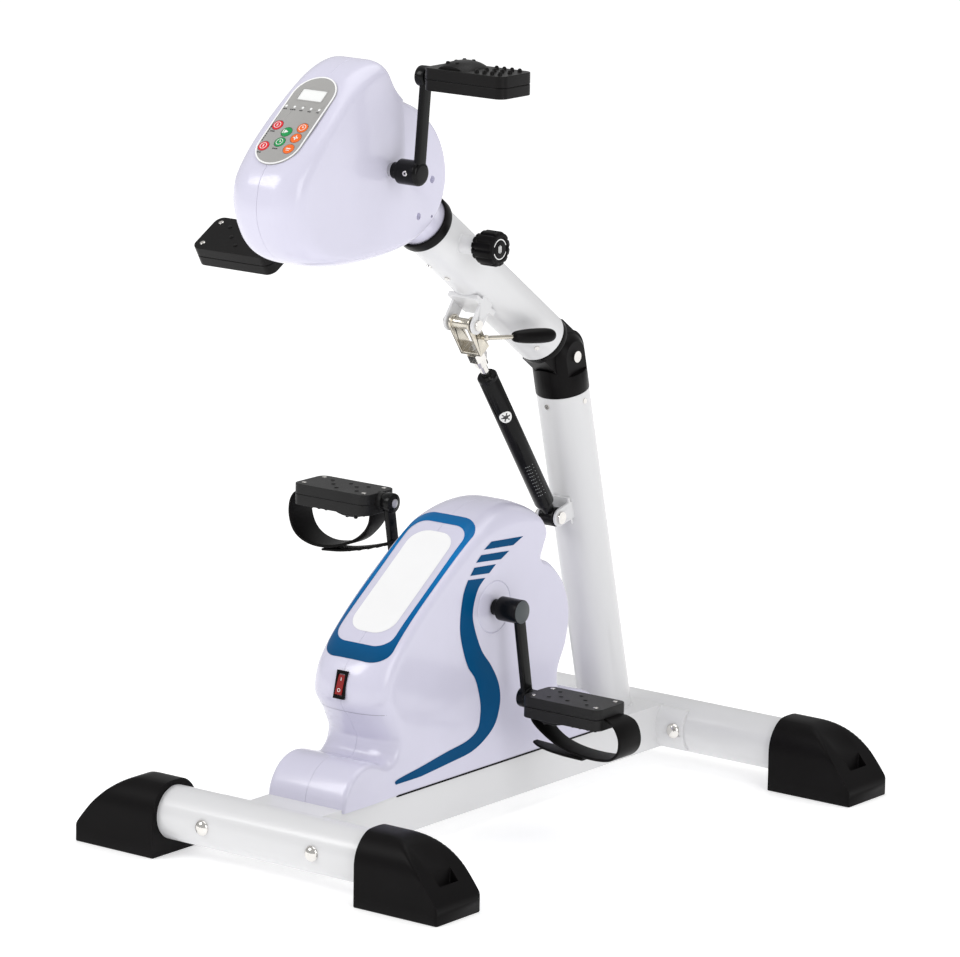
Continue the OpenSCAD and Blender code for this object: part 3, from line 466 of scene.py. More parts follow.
def side_points(outline, rounds, lines):
    """Points inside an outline: an even grid, and rings and lines round what is drawn on the surface."""
    ys, zs = [p[0] for p in outline], [p[1] for p in outline]
    made = [p for p in lines if inside(p, outline) and edge_distance(p, outline) > 1.5]
    for cy, cz, radii, count in rounds:
        for r in radii:
            made += [p for p in circle(r, count, (cy, cz)) if inside(p, outline)]
    y = min(ys)
    while y < max(ys):
        z = min(zs)
        while z < max(zs):
            free = all(math.hypot(y - cy, z - cz) > max(radii) + GRID / 3 for cy, cz, radii, _ in rounds)
            free = free and (not lines or edge_distance((y, z), lines) > GRID / 2)
            if free and inside((y, z), outline) and edge_distance((y, z), outline) > GRID / 2:
                made.append((y, z))
            z += GRID
        y += GRID
    return made


def casing_mesh(rows, closed, width, side, rounds, depth=lambda y, z: 0.0, lines=()):
    """Half of a casing: round outer edge, then a side face that follows width(y, z)."""
    bm = bmesh.new()
    rows = smooth(rows, 6, closed)
    normals = [outward(rows, i, closed) for i in range(len(rows))]
    rings = [[(x, y - n[0] * inset, z - n[1] * inset) for (y, z, _, _), n in zip(rows, normals)]
             for x, inset in ((SEAM_GAP, SEAM_SOFT), (SEAM_GAP + SEAM_SOFT, 0.0))]
    for t in [math.radians(90 * k / 9) for k in range(10)]:
        made = []
        for (y, z, r, e), n in zip(rows, normals):
            inset = e * (1 - math.cos(t))
            x = width(y - n[0] * e, z - n[1] * e) - r + r * math.sin(t)
            made.append((x, y - n[0] * inset, z - n[1] * inset))
        rings.append(made)
    rim = skin(bm, [[(side * x, y, z) for x, y, z in made] for made in rings], closed)[-1]
    outline = [(y, z) for _, y, z in rings[-1]]
    if not closed:
        y_from, y_to = outline[-1][0], outline[0][0]
        count = int(abs(y_to - y_from) / GRID)
        for k in range(1, count):
            y = y_from + (y_to - y_from) * k / count
            outline.append((y, CASING_FLOOR))
            rim.append(bm.verts.new((side * width(y, CASING_FLOOR), y, CASING_FLOOR)))
    extra = side_points(outline, rounds, lines)
    points = [Vector(p) for p in outline + extra]
    edges = [(i, (i + 1) % len(outline)) for i in range(len(outline))]
    out, _, faces, origins, _, _ = delaunay_2d_cdt(points, edges, [], 1, 1e-4)
    known = {}
    for i, p in enumerate(out):
        source = next((o for o in origins[i] if o < len(outline)), None)
        if source is not None:
            known[i] = rim[source]
        else:
            known[i] = bm.verts.new((side * (width(p.x, p.y) - depth(p.x, p.y)), p.x, p.y))
    for f in faces:
        corners = [known[i] for i in f]
        if len(set(corners)) == 3:
            try:
                bm.faces.new(corners)
            except ValueError:
                pass
    return bm


def leg_half(side):
    rounds = [(FOOT_AXLE.y, FOOT_AXLE.z, (9, 18, 27.2, 28.2, 28.8, 29.2, 29.8, 30.8), 72)]
    return casing_mesh(LEG_ROWS, False, leg_side, side, rounds)


def hole_depth(y, z):
    for cy, cz, r in HEAD_HOLES:
        if math.hypot(y - cy, z - cz) < r * 0.95:
            return HOLE_DEPTH
    return 0.0


def head_half(side):
    rounds = [(cy, cz, (r * 0.4, r * 0.9, r, r * 1.3), 20) for cy, cz, r in HEAD_HOLES]
    lines = [(head_edge(z) + out, z) for z in range(764, 862, 3)
             for out in (-0.8, 0.3, 1.2, 2, 2.8, 3.7, 4.8)]
    return casing_mesh(HEAD_ROWS, True, head_side, side, rounds, depth=hole_depth, lines=lines)


def neck_half(bm, side):
    """Round neck of the head that goes into the collar of the arm."""
    near, far = 306.0, 366.0
    place = placed(ELBOW, ARM_AXIS)
    rings = []
    for s, r in ((near, 27.5), (near, 29.0), (near + 1, 29.5), (far, 29.5)):
        rings.append([place @ Vector((side * r * math.sin(a), -r * math.cos(a), s))
                      for a in [math.pi * k / 24 for k in range(25)]])
    skin(bm, [[(side * max(abs(p.x), SEAM_GAP), p.y, p.z) for p in ring] for ring in rings], closed=False)


def make_casings():
    """Builds the four shells and returns a lookup of the foot unit's outer surface."""
    surface = bmesh.new()
    for side, word in ((1, "right"), (-1, "left")):
        bm = leg_half(side)
        clean(bm)
        copy = bpy.data.meshes.new("copy")
        bm.to_mesh(copy)
        surface.from_mesh(copy)
        piece(f"foot_unit_{word}_shell", bm, SHELL, "base", [f"leg_{word}_shell"], sharp=40)
        bm = head_half(side)
        neck_half(bm, side)
        piece(f"head_{word}_cover", bm, SHELL, "head", [f"head_{word}_shell"], sharp=40)
    return BVHTree.FromBMesh(surface)


# ------ printed graphics

PRINT_LIFT = 0.3
SEAM_BRIDGE = 1.2      # half width of the strip over the seam that takes its height from beside it
RAY_REACH = 120
PANEL_SLOPE = math.radians(35.8)
PANEL_MID = Vector((0, -109.2, 287.4))
# Edges of the winding stripe on the side of the foot unit, from its top to its foot, as (y, z)
STRIPE_FRONT = [(-63, 284), (-71, 269), (-76, 242), (-74, 219), (-62, 188), (-47, 169), (-38, 144),
                (-37, 127), (-42, 111), (-62, 102), (-98, 97), (-142, 90), (-184, 84), (-186, 79)]
STRIPE_BACK = [(-32, 281), (-45, 270), (-53, 249), (-51, 231), (-37, 201), (-19, 180), (-6, 160),
               (-1, 142), (-3, 126), (-11, 110), (-29, 97), (-53, 88), (-88, 84), (-142, 79)]
BARS = [[(-22, 320), (36, 316), (18, 309), (-35, 313)],
        [(-40, 308), (11, 304), (-4, 297), (-49, 301)],
        [(-52, 296), (-13, 293), (-25, 285), (-59, 288)]]


def print_on(surface, points, direction, lift=PRINT_LIFT):
    """Drops points onto the casing along a direction, bridging its seam, and lifts them a hair off it."""
    made = []
    for p in points:
        start = Vector(p)
        if abs(start.x) < SEAM_BRIDGE:
            start.x = math.copysign(SEAM_BRIDGE, start.x)
        hit = surface.ray_cast(start - direction * RAY_REACH, direction)[0]
        spot = hit if hit is not None else start
        if abs(p[0]) < SEAM_BRIDGE:
            spot.x = p[0]
        made.append(spot - direction * lift)
    return made


def strip(bm, surface, edge_a, edge_b, direction, across=5):
    rows = []
    for k in range(across + 1):
        t = k / across
        line = [Vector(a).lerp(Vector(b), t) for a, b in zip(edge_a, edge_b)]
        rows.append(print_on(surface, line, direction))
    skin(bm, rows, closed=False)


def make_side_prints(surface):
    for side, word in ((1, "right"), (-1, "left")):
        bm = bmesh.new()
        inward = Vector((-side, 0, 0))
        x = side * (LEG_SIDE + 2)
        front = [(x, y, z) for y, z in smooth(STRIPE_FRONT, 6)]
        back = [(x, y, z) for y, z in smooth(STRIPE_BACK, 6)]
        strip(bm, surface, front, back, inward)
        for a, b, c, d in BARS:
            edges = [[Vector((x, *p)).lerp(Vector((x, *q)), k / 8) for k in range(9)]
                     for p, q in ((a, b), (d, c))]
            strip(bm, surface, *edges, inward, across=2)
        piece(f"foot_unit_{word}_print", bm, DEEP_BLUE, "base")


def make_painted_shade_line(surface):
    """Fine line of painted shade round the bulge in front, where the two steps of the mould meet."""
    bm = bmesh.new()
    rows = []
    for z in (157.3, 158.0):
        line = [(-46 + 92 * k / 40, -240, z) for k in range(41)]
        rows.append(print_on(surface, line, Vector((0, 1, 0)), 0.12))
    skin(bm, rows, closed=False)
    piece("foot_unit_painted_shade_line", bm, SHADE, "base")


def panel_point(x, v):
    return PANEL_MID + Vector((x, v * math.cos(PANEL_SLOPE), v * math.sin(PANEL_SLOPE)))


def panel_loop(half_width, low, high, radius, count=18):
    outline = rounded_box(2 * half_width, high - low, radius, count, (0, (low + high) / 2))
    made = []
    for a, b in zip(outline, outline[1:] + outline[:1]):
        parts = max(1, int(math.hypot(b[0] - a[0], b[1] - a[1]) / 6))
        made += [mix(a, b, k / parts) for k in range(parts)]
    return made


def matched(loop, other, middle):
    """The point of the other loop at the same bearing from the middle, for each point of a loop."""
    made = []
    for p in loop:
        want = math.atan2(p[1] - middle[1], p[0] - middle[0])
        direction = (math.cos(want), math.sin(want))
        best = None
        for a, b in zip(other, other[1:] + other[:1]):
            ex, ey = b[0] - a[0], b[1] - a[1]
            wx, wy = a[0] - middle[0], a[1] - middle[1]
            cross = direction[0] * ey - direction[1] * ex
            if abs(cross) < 1e-9:
                continue
            t = (wx * ey - wy * ex) / cross
            u = (wx * direction[1] - wy * direction[0]) / cross
            if t > 0 and -1e-6 <= u <= 1 + 1e-6:
                best = (middle[0] + direction[0] * t, middle[1] + direction[1] * t)
        made.append(best or p)
    return made


def make_panel(surface):
    normal = Vector((0, -math.sin(PANEL_SLOPE), math.cos(PANEL_SLOPE)))
    middle = (0, -8)
    outer = panel_loop(44, -120, 98, 24)
    inner = matched(outer, panel_loop(38, -99, 83, 20), middle)
    window = matched(outer, panel_loop(29, -82, 70, 22), middle)

    def fill(name, look, start, end, rings, whole=False):
        bm = bmesh.new()
        rows = []
        for k in range(rings + 1):
            line = [panel_point(*mix(a, b, k / rings)) for a, b in zip(start, end)]
            rows.append(print_on(surface, line, -normal))
        verts = skin(bm, rows)
        if whole:
            bm.faces.new(verts[-1])
        piece(name, bm, look, "base")

    fill("panel_frame_print_painted_shade", BLUE, outer, inner, 4)
    point = [mix(middle, p, 0.02) for p in window]
    fill("panel_window_print", WHITE_FILM, window, point, 12, whole=True)


# ------ cranks, pedals and straps

HUB = (60.0, 89.0)         # from the casing outwards
HUB_R = 13.5
ARM_X = (80.5, 88.0)       # a crank's flat arm at its hub
SPLAY = {"foot": 7.5, "hand": 3.5}
LEFT_HAND_INSET = 8.0
BARREL_X = 97.0
PEDAL_X = 103.0
PEDAL_LENGTH = 105.0
PEDAL_DEPTH = 55.0
PEDAL_LOW, PEDAL_HIGH = -10.0, 14.0


def make_crank(name, axle, end, side, body, node, splay, capped):
    length = (end - axle).length
    place = placed(axle, end - axle, (side, 0, 0))
    turned = place @ Z_OUTWARDS
    near, far = HUB
    bm = bmesh.new()
    edge = 0.8 if capped else 5.0
    rounding = [(HUB_R - edge * (1 - math.cos(a)), far - edge + edge * math.sin(a))
                for a in [math.pi / 2 * k / 6 for k in range(7)]]
    lathe(bm, [(7.6, near - 8), (9, near - 8), (9, near), (12.6, near), (HUB_R, near + 1), *rounding,
               (0, far)], turned)
    half_thick = (ARM_X[1] - ARM_X[0]) / 2
    section = rounded_box(2 * half_thick, 14.5, 2.4, 4)
    rings = []
    for t in [k / 12 for k in range(13)]:
        middle = ARM_X[0] + half_thick + splay * t
        rings.append([place @ Vector((middle + x, y, length * t)) for x, y in section])
    loft(bm, rings)
    eye = place @ Matrix.Translation((0, 0, length)) @ Z_OUTWARDS
    out = ARM_X[1] + splay
    lathe(bm, [(0, out - 12), (9.5, out - 12), (10.8, out - 11.2), (11.2, out - 10), (11.2, out - 1.4),
               (10.6, out - 0.2), (9, out), (9, BARREL_X - 0.5), (0, BARREL_X - 0.5)], eye)
    piece(name, bm, ENAMEL, body, [node])
    bm = bmesh.new()
    lathe(bm, [(5.9, BARREL_X - 2), (5.9, PEDAL_X + 10)], eye, 32)
    lathe(bm, [(0, out - 13.2), (2.6, out - 13.2), (5, out - 12.6), (5, out - 11.6)], eye, 32)
    piece(name + "_spindle", bm, PLAIN, body)
    if capped:
        bm = bmesh.new()
        lathe(bm, [(12.9, far - 0.2), (12.7, far + 0.5), (12, far + 0.8), (0, far + 0.8)], turned)
        piece(name + "_cap", bm, CAP_GREY, body)
    bm = bmesh.new()
    key = place @ Matrix.Translation((ARM_X[0] - 5, 0, 0)) @ Matrix.Rotation(math.pi / 2, 4, "X")
    lathe(bm, [(0, 12.8), (1.3, 12.8), (1.3, 13.9), (2.6, 14.1), (3.0, 13.3)], key, 20)
    piece(name + "_screw", bm, BRIGHT, body)


def studs(bm, place, spots, level, height, radius, turn=Matrix.Identity(4)):
    """Low round pips on a face."""
    for x, y in spots:
        out = place @ Matrix.Translation((x, y, level)) @ turn
        lathe(bm, [(radius, -0.6), (radius * 0.92, height * 0.5), (radius * 0.6, height * 0.9),
                   (0, height)], out, 16)


def make_pedal(name, spindle, up, side, body, node, look):
    place = placed(spindle, up, (side, 0, 0))
    block = place @ Matrix.Translation((PEDAL_X, 0, 0))
    middle = (PEDAL_LENGTH / 2, 0)
    parting = 1.5
    bm = bmesh.new()
    for low, high, shrink in ((PEDAL_LOW, parting, 0.0), (parting + 0.5, PEDAL_HIGH, 0.0),
                              (parting - 0.5, parting + 1.0, 0.7)):
        outline = rounded_box(PEDAL_LENGTH - 2 * shrink, PEDAL_DEPTH - 2 * shrink, 10, 8, middle)
        prism(bm, outline, low, high, block)
    piece(name, bm, look, body, [node], bevel=2.6, segments=4)
    bm = bmesh.new()
    top = [(12, 5), (16, 12), (24, 16.5), (34, 17.5), (44, 15.5), (52, 10), (56, 4)]
    rings = []
    for k in range(-6, 7):
        y = k / 6 * (PEDAL_DEPTH / 2 - 5)
        drop = 4.2 * (abs(k) / 6) ** 3
        rings.append([block @ Vector((x, y, PEDAL_HIGH - 6 + max(h * 0.78 - drop, 0)))
                      for x, h in smooth(top, 4)])
    loft(bm, rings, cap=True)
    piece(name + "_grip", bm, look, body)
    bm = bmesh.new()
    lathe(bm, [(6.2, BARREL_X), (9, BARREL_X), (10.2, BARREL_X + 1), (10.2, BARREL_X + 7),
               (9.4, BARREL_X + 8), (10.5, BARREL_X + 9), (10.5, PEDAL_X + 2)], place @ Z_OUTWARDS, 40)
    piece(name + "_barrel", bm, look, body)
    bm = bmesh.new()
    flat = ((24, -13), (37, 3), (52, -14), (52, 12), (66, -2), (79, 13), (27, 12))
    studs(bm, block, flat, PEDAL_LOW, 1.0, 2.6, UPSIDE_DOWN)
    grip = [(x, y) for x in (64, 74, 84, 94) for y in (-17, 0, 17)]
    studs(bm, block, grip, PEDAL_HIGH, 3.6, 2.5)
    hump = [(x, y) for x in (24, 36) for y in (-14, 0, 14)]
    studs(bm, block, hump, PEDAL_HIGH + 5.4, 2.2, 2.4)
    piece(name + "_studs", bm, look, body)
    bm = bmesh.new()
    for x, y in [(x, y) for x in (10, PEDAL_LENGTH - 10) for y in (-18, 18)]:
        out = block @ Matrix.Translation((x, y, PEDAL_LOW)) @ UPSIDE_DOWN
        lathe(bm, [(2.9, -0.5), (2.9, 0.45), (2.3, 0.8), (1.2, 0.85), (1.1, 0.2), (0, 0.2)], out, 18)
    piece(name + "_screws", bm, BRIGHT, body)


# Middle line of a foot strap as (distance out, height above the pedal's axis), with its half width.
# The right strap is pulled out to its side, the left one hangs lower with its tail towards the hub.
STRAP_ROWS = {
    "right_foot": [
        (207, -2, 15), (216, -3.5, 18), (225, -9, 20), (230.5, -21, 20), (229.5, -34, 20), (221, -43.5, 19),
        (207, -48, 17), (185, -49, 15.5), (160, -46.5, 14), (138, -40, 13), (121, -30, 14), (111, -20, 16),
        (108.5, -12, 16)],
    "left_foot": [
        (207, -2, 15), (213, -5, 18), (217, -15, 20), (217.3, -31, 20), (211, -46, 20), (198, -55.5, 19),
        (178, -59.5, 17.5), (154, -56.5, 16), (132, -48, 13), (118, -37, 12), (109, -25, 14),
        (105.5, -13, 16)]}
STRAP_TAIL = {
    "right_foot": [(178, -52.5, 13), (152, -52, 12.5), (130, -50.5, 11), (114, -48.5, 8), (105, -46.5, 4)],
    "left_foot": [(174, -63.5, 14), (148, -61, 13.5), (122, -55.5, 12), (98, -48.5, 9), (82, -42.5, 4)]}


def make_strap(name, spindle, side, body, node):
    bm = bmesh.new()

    def ribbon(rows, thick, y_shift=0.0):
        rows = smooth(rows, 6)
        path = [spindle + Vector((side * x, y_shift, z)) for x, z, _ in rows]
        sweep(bm, path, lambda i: rounded_box(2 * rows[i][2], thick, thick * 0.42, 3),
              side=Vector((0, 1, 0)))

    ribbon(STRAP_ROWS[body], 3.2)
    tail = STRAP_TAIL[body]
    ribbon(tail, 2.6, -2)
    for a, b in zip(tail, tail[1:]):
        for x, z, half in (mix(a, b, 0.3), mix(a, b, 0.8)):
            rib = placed(spindle + Vector((side * x, -2, z - 2.2)), UP)
            prism(bm, rounded_box(3, 1.2 * half, 1.2, 3), 0, 1.8, rib)
    piece(name, bm, STRAP, body, [node])


def make_cranks():
    nose_down = math.radians(30)
    grips = {"left_foot": (0, 0, -1), "right_foot": (0, 0, -1),
             "left_hand": (0, math.sin(nose_down), -math.cos(nose_down)), "right_hand": (0, 0, 1)}
    for name, up in grips.items():
        side = 1 if name.startswith("right") else -1
        foot = name.endswith("foot")
        inset = Vector((LEFT_HAND_INSET if name == "left_hand" else 0, 0, 0))
        axle = Vector((0, *(FOOT_AXLE if foot else HAND_AXLE).yz)) + inset
        end = Vector((0, *pivot(name + "_pedal_spin").yz)) + inset
        look, slot = (PEDAL_GREY, "pedal_grey") if foot else (PEDAL_BLACK, "pedal_black")
        limb = "foot" if foot else "hand"
        node = f"{name}_crank"
        make_crank(node + "_arm", axle, end, side, limb + "_crank", node, SPLAY[limb], foot)
        node = f"{name}_pedal"
        make_pedal(node + "_block", end, up, side, name, node, look)
        if foot:
            make_strap(f"{name}_strap_loop", end, side, name, f"{name}_strap")


# ------ arm fittings

def make_knob():
    out = on_side(KNOB, 1)
    turns = [2 * math.pi * k / 144 for k in range(144)]
    bm = bmesh.new()
    for parts in (((50, 13.6), (51.2, 15), (57.8, 15), (59, 14)),
                  ((57.6, 17.6), (58.6, 19.0), (60, 19.3), (76.4, 19.3), (78.4, 18.4), (79, 17.2))):
        rings = []
        for z, radius in parts:
            spots = [(a, radius - 1.5 * max(math.cos(12 * a), 0) ** 2) for a in turns]
            rings.append([out @ Vector((r * math.cos(a), r * math.sin(a), z)) for a, r in spots])
        loft(bm, rings)
    lathe(bm, [(12.8, 78.8), (12.8, 79.7), (14.4, 79.7), (15.2, 78.8)], out)
    piece("clamp_knob", bm, BLACK, "knob", ["lock_knob"])
    bm = bmesh.new()
    for start in (0.35, math.pi + 0.35):
        arc = [start + (math.pi - 0.7) * k / 20 for k in range(21)]
        skin(bm, [[out @ Vector((r * math.cos(a), r * math.sin(a), 79.25)) for a in arc]
                  for r in (10.2, 11.3)], closed=False)
    for turn in (-2, 0, 2):
        prism(bm, rounded_box(1.0, 9 - abs(turn), 0.4, 2, (turn, 0)), 78.8, 79.3, out)
    piece("clamp_knob_marks", bm, LIGHT_INK, "knob")


def make_spring():
    place = placed(MAST_PIN, SPRING_AXIS)
    top = SPRING_LENGTH - 78
    bm = bmesh.new()
    lathe(bm, [(6.5, 8), (7.5, 10), (7.5, 20), (10.8, 22), (11.3, 24), (11.3, top - 7),
               (10.9, top - 6.4), (10.9, top - 5.2), (11.5, top - 4.6), (11.5, top - 1.4), (10.4, top),
               (5.4, top), (5.4, top - 8)], place)
    across = on_side(MAST_PIN, 1)
    lathe(bm, [(4.2, -9), (10, -9), (11, -8), (11, 8), (10, 9), (4.2, 9), (4.2, -9)], across)
    piece("gas_spring_cylinder", bm, ENAMEL, "cylinder", ["gas_cylinder"])
    facing = Vector((0.59, -0.78, 0.2)).normalized()
    facing = (facing - SPRING_AXIS * facing.dot(SPRING_AXIS)).normalized()
    right = SPRING_AXIS.cross(facing)

    def on_barrel(u, along, radius):
        a = u / radius
        return MAST_PIN + SPRING_AXIS * along + (facing * math.cos(a) + right * math.sin(a)) * radius

    def wrapped(bm, outline, middle, radius):
        skin(bm, [[on_barrel(u * scale, middle + v * scale, radius) for u, v in outline]
                  for scale in (1.0, 0.6, 0.05)])

    sticker_at = SPRING_LENGTH - 134
    bm = bmesh.new()
    wrapped(bm, circle(7.6, 40), sticker_at, 11.42)
    piece("gas_spring_sticker", bm, LIGHT_INK, "cylinder")
    bm = bmesh.new()
    wrapped(bm, circle(2.6, 24), sticker_at, 11.52)
    for spot in circle(4.9, 6):
        wrapped(bm, circle(0.9, 10, spot), sticker_at, 11.52)
    piece("gas_spring_sticker_marks", bm, INK, "cylinder")
    bm = bmesh.new()
    for k in range(10):
        for u, width in ((-3.8, 3.9), (1.0, 4.9)):
            low = SPRING_LENGTH - 211 - 4.9 * k
            corners = ((u, low), (u + width, low), (u + width, low + 1), (u, low + 1))
            bm.faces.new([bm.verts.new(on_barrel(x, v, 11.44)) for x, v in corners])
    piece("gas_spring_label", bm, FAINT_INK, "cylinder")


def make_small_parts():
    """The marks on the power rocker, and a black strip under the edge of the foot unit that is a painted
    shadow line.
    """
    face = Matrix.Translation(SWITCH_MID) @ Matrix.Rotation(SWITCH_SLOPE, 4, "X")
    bm = bmesh.new()
    flat_ring(bm, circle(2.0, 24), circle(1.4, 24), 0, 0.25, face @ Matrix.Translation((0, -6, 4.1)))
    prism(bm, rounded_box(0.7, 3.6, 0.3, 2), 0, 0.35, face @ Matrix.Translation((0, 6, 2.8)))
    piece("rocker_marks", bm, LIGHT_INK, "rocker")
    bm = bmesh.new()
    # painted shadow: this black strip stands in for the shadow line between the casing edge and the rail
    prism(bm, rounded_box(103, 376, 3, 4, (0, 4)), 64.4, 66.4, Matrix.Identity(4))
    piece("casing_edge_painted_shadow", bm, BLACK, "base")


def make_lever():
    root = ARM_PIN + Vector((20, 16, -16))
    tip = Vector((52, root.y + 83, root.z - 4.5))
    along = (tip - root).normalized()
    length = (tip - root).length
    place = placed(root, along)
    bm = bmesh.new()
    lathe(bm, [(r, share * length) for r, share in (
        (0, 0.385), (4.2, 0.385), (5.6, 0.40), (7.0, 0.46), (8.1, 0.58), (8.5, 0.72), (8.3, 0.86),
        (7.4, 0.94), (5.2, 0.985), (2.4, 1), (0, 1))], place)
    piece("release_lever_grip", bm, BLACK, "lever", ["lever_grip"], divide=1)


TUBE_BORE = 27.5
MAST_TOP = 42.5            # below the elbow, along the mast
ARM_SPAN = (42, 305)       # both ends of the arm tube, from the elbow
MAST_SPAN = 438            # from the elbow down to the weld at the rail
TUBE_SHORT = 4             # how far a cross tube stays back inside its foot caps


def tube_skin(bm, low_rings, high_rings):
    """Tube wall over rings given from the bore outwards, at its lower and upper ends."""
    made = skin(bm, [*low_rings, *high_rings[::-1]])
    ring_faces(bm, made[-1], made[0])


def tube_rings(place, level, inwards):
    """Three rings round the mouth of a tube, its outer edge softened inwards along the axis."""
    return [[place @ Vector((x, y, z)) for x, y in circle(r, 96)]
            for r, z in ((TUBE_BORE, level), (TUBE_R - 0.6, level), (TUBE_R, level + inwards * 0.6))]


def make_tubes():
    for node in ("front_stabiliser", "rear_stabiliser"):
        low, high = box_mm(node)
        place = placed((0, (low.y + high.y) / 2, (low.z + high.z) / 2), SIDE, UP)
        bm = bmesh.new()
        tube_skin(bm, tube_rings(place, low.x + TUBE_SHORT, 1), tube_rings(place, high.x - TUBE_SHORT, -1))
        piece(node + "_tube", bm, PAINT, "base", [node])
    low, high = box_mm("mast_tube")
    foot = ELBOW + MAST_AXIS * ((low.z - ELBOW.z) / MAST_AXIS.z)
    place = placed(foot, MAST_AXIS)
    cut = [[p + MAST_AXIS * ((low.z - p.z) / MAST_AXIS.z) for p in ring] for ring in tube_rings(place, 0, 0)]
    top = (ELBOW - foot).length - MAST_TOP
    bm = bmesh.new()
    tube_skin(bm, cut, tube_rings(place, top, -1))
    piece("mast_tube_skin", bm, PAINT, "base", ["mast_tube"])
    bm = bmesh.new()
    place = placed(ELBOW, ARM_AXIS)
    tube_skin(bm, tube_rings(place, ARM_SPAN[0], 1), tube_rings(place, ARM_SPAN[1], -1))
    lathe(bm, [(4.4, 27.8), (10, 27.8), (10, 49), (9.5, 49.5), (4.4, 49.5), (4.4, 27.8)], on_side(KNOB, 1))
    piece("arm_tube_skin", bm, PAINT, "arm", ["arm_tube"])


FOOT_LENGTH = 110.0
FOOT_HALF = 38.0
FOOT_AXIS_Z = 45.0


def foot_height(back):
    """Height of the sloping top of a foot cap, at a distance back from its outer end."""
    spots = [(0, 16), *[(1 + 76 * t + 6 * t * (1 - t), 20 + 61 * math.sin(math.pi / 2 * t) ** 0.92)
                        for t in [k / 24 for k in range(25)]], (FOOT_LENGTH, 81)]
    for (a, za), (b, zb) in zip(spots, spots[1:]):
        if a <= back <= b:
            return za + (zb - za) * (back - a) / (b - a)
    return 81.0


def foot_top(back, y, pocket):
    """Arched top of a foot cap cut by its slope, with a soft edge, a shallow spoon and a slot."""
    arch = FOOT_AXIS_Z + math.sqrt(max(FOOT_HALF ** 2 - y * y, 0))
    slope = foot_height(back)
    spoon = 2.2 * step(24, 36, back) * (1 - step(40, 56, back)) * max(1 - (y / 20) ** 2, 0)
    soft = 3.0
    near = max(soft - abs(arch - slope), 0) / soft
    return min(arch, slope) - near * near * soft / 4 - spoon - (16.0 if pocket else 0)


def make_feet():
    slot = (13.0, 24.5)
    half_slot = 16.0
    backs = sorted([0, 0.7, 2, 4, *range(7, 110, 3), 110, slot[0], slot[0] + 0.3, slot[1] - 0.3, slot[1]])
    turns = [math.asin(half_slot / FOOT_HALF), math.asin((half_slot - 0.3) / FOOT_HALF)]
    turns = sorted([math.radians(90 * k / 16) for k in range(-16, 17)] + turns + [-t for t in turns])
    for name in ("front_left", "front_right", "rear_left", "rear_right"):
        low, high = box_mm(name + "_foot")
        side = 1 if name.endswith("right") else -1
        outer = high.x if side > 0 else low.x
        middle = (low.y + high.y) / 2
        rings = []
        for back in backs:
            shrink = 1.6 if back == 0 else 0.5 if back < 1 else 0
            line = []
            for t in turns:
                y = FOOT_HALF * math.sin(t)
                pocket = slot[0] < back < slot[1] and abs(y) < half_slot
                line.append((y, foot_top(back, y, pocket) - shrink))
            flank = [(line[-1][1] * k) for k in (0.66, 0.33)]
            line = line + [(FOOT_HALF, z) for z in flank] + [(FOOT_HALF, 1), (FOOT_HALF - 1, 0)]
            line = [(-FOOT_HALF + 1, 0), (-FOOT_HALF, 1)] + [(-FOOT_HALF, z) for z in flank[::-1]] + line
            rings.append([Vector((outer - side * back, middle + y * (1 - shrink / FOOT_HALF), z))
                          for y, z in line])
        bm = bmesh.new()
        loft(bm, rings)
        piece(f"{name}_foot_cap", bm, RUBBER, "base", [f"{name}_foot"], sharp=50)


def make_beads():
    """Weld beads round the foot of the mast and round the boss on the arm."""
    bm = bmesh.new()
    mast_foot = ELBOW - MAST_AXIS * MAST_SPAN
    ring = [Vector((x, mast_foot.y + y / math.cos(MAST_LEAN), mast_foot.z)) for x, y in circle(TUBE_R, 72)]
    sweep(bm, ring + ring[:2], lambda i: circle(1.9 + 0.35 * math.sin(i * 2.2), 8), cap=False, side=UP)
    piece("mast_weld", bm, PAINT, "base")
    bm = bmesh.new()
    ring = []
    for y, z in circle(10.2, 48):
        offset = Vector((0, -math.sin(ARM_RISE), -math.cos(ARM_RISE))) * y + ARM_AXIS * z
        ring.append(KNOB + offset + Vector((math.sqrt(TUBE_R ** 2 - y * y), 0, 0)))
    sweep(bm, ring + ring[:2], lambda i: circle(1.2 + 0.2 * math.sin(i * 2.6), 8), cap=False, side=SIDE)
    piece("boss_weld", bm, PAINT, "arm")


# ------ console

PLATE = (125.0, 56.0)
LAMPS = (-24, -13, -2, 9, 20)
LAMP_UP = 17.7
INK_LEVELS = (1.55, 1.7)
ICON_LEVELS = (0.02, 0.14)


def oval(length, width, count=24):
    half = (length - width) / 2
    made = []
    for sign, start in ((1, 0), (-1, math.pi)):
        for k in range(count + 1):
            a = start + math.pi * k / count
            made.append((width / 2 * math.cos(a), sign * half + width / 2 * math.sin(a)))
    return made


def flat_ring(bm, outer, inner, low, high, place):
    """Ring between two outlines, open underneath."""
    skin(bm, [[place @ Vector((x, y, z)) for x, y in line]
              for line, z in ((outer, low), (outer, high), (inner, high), (inner, low))])


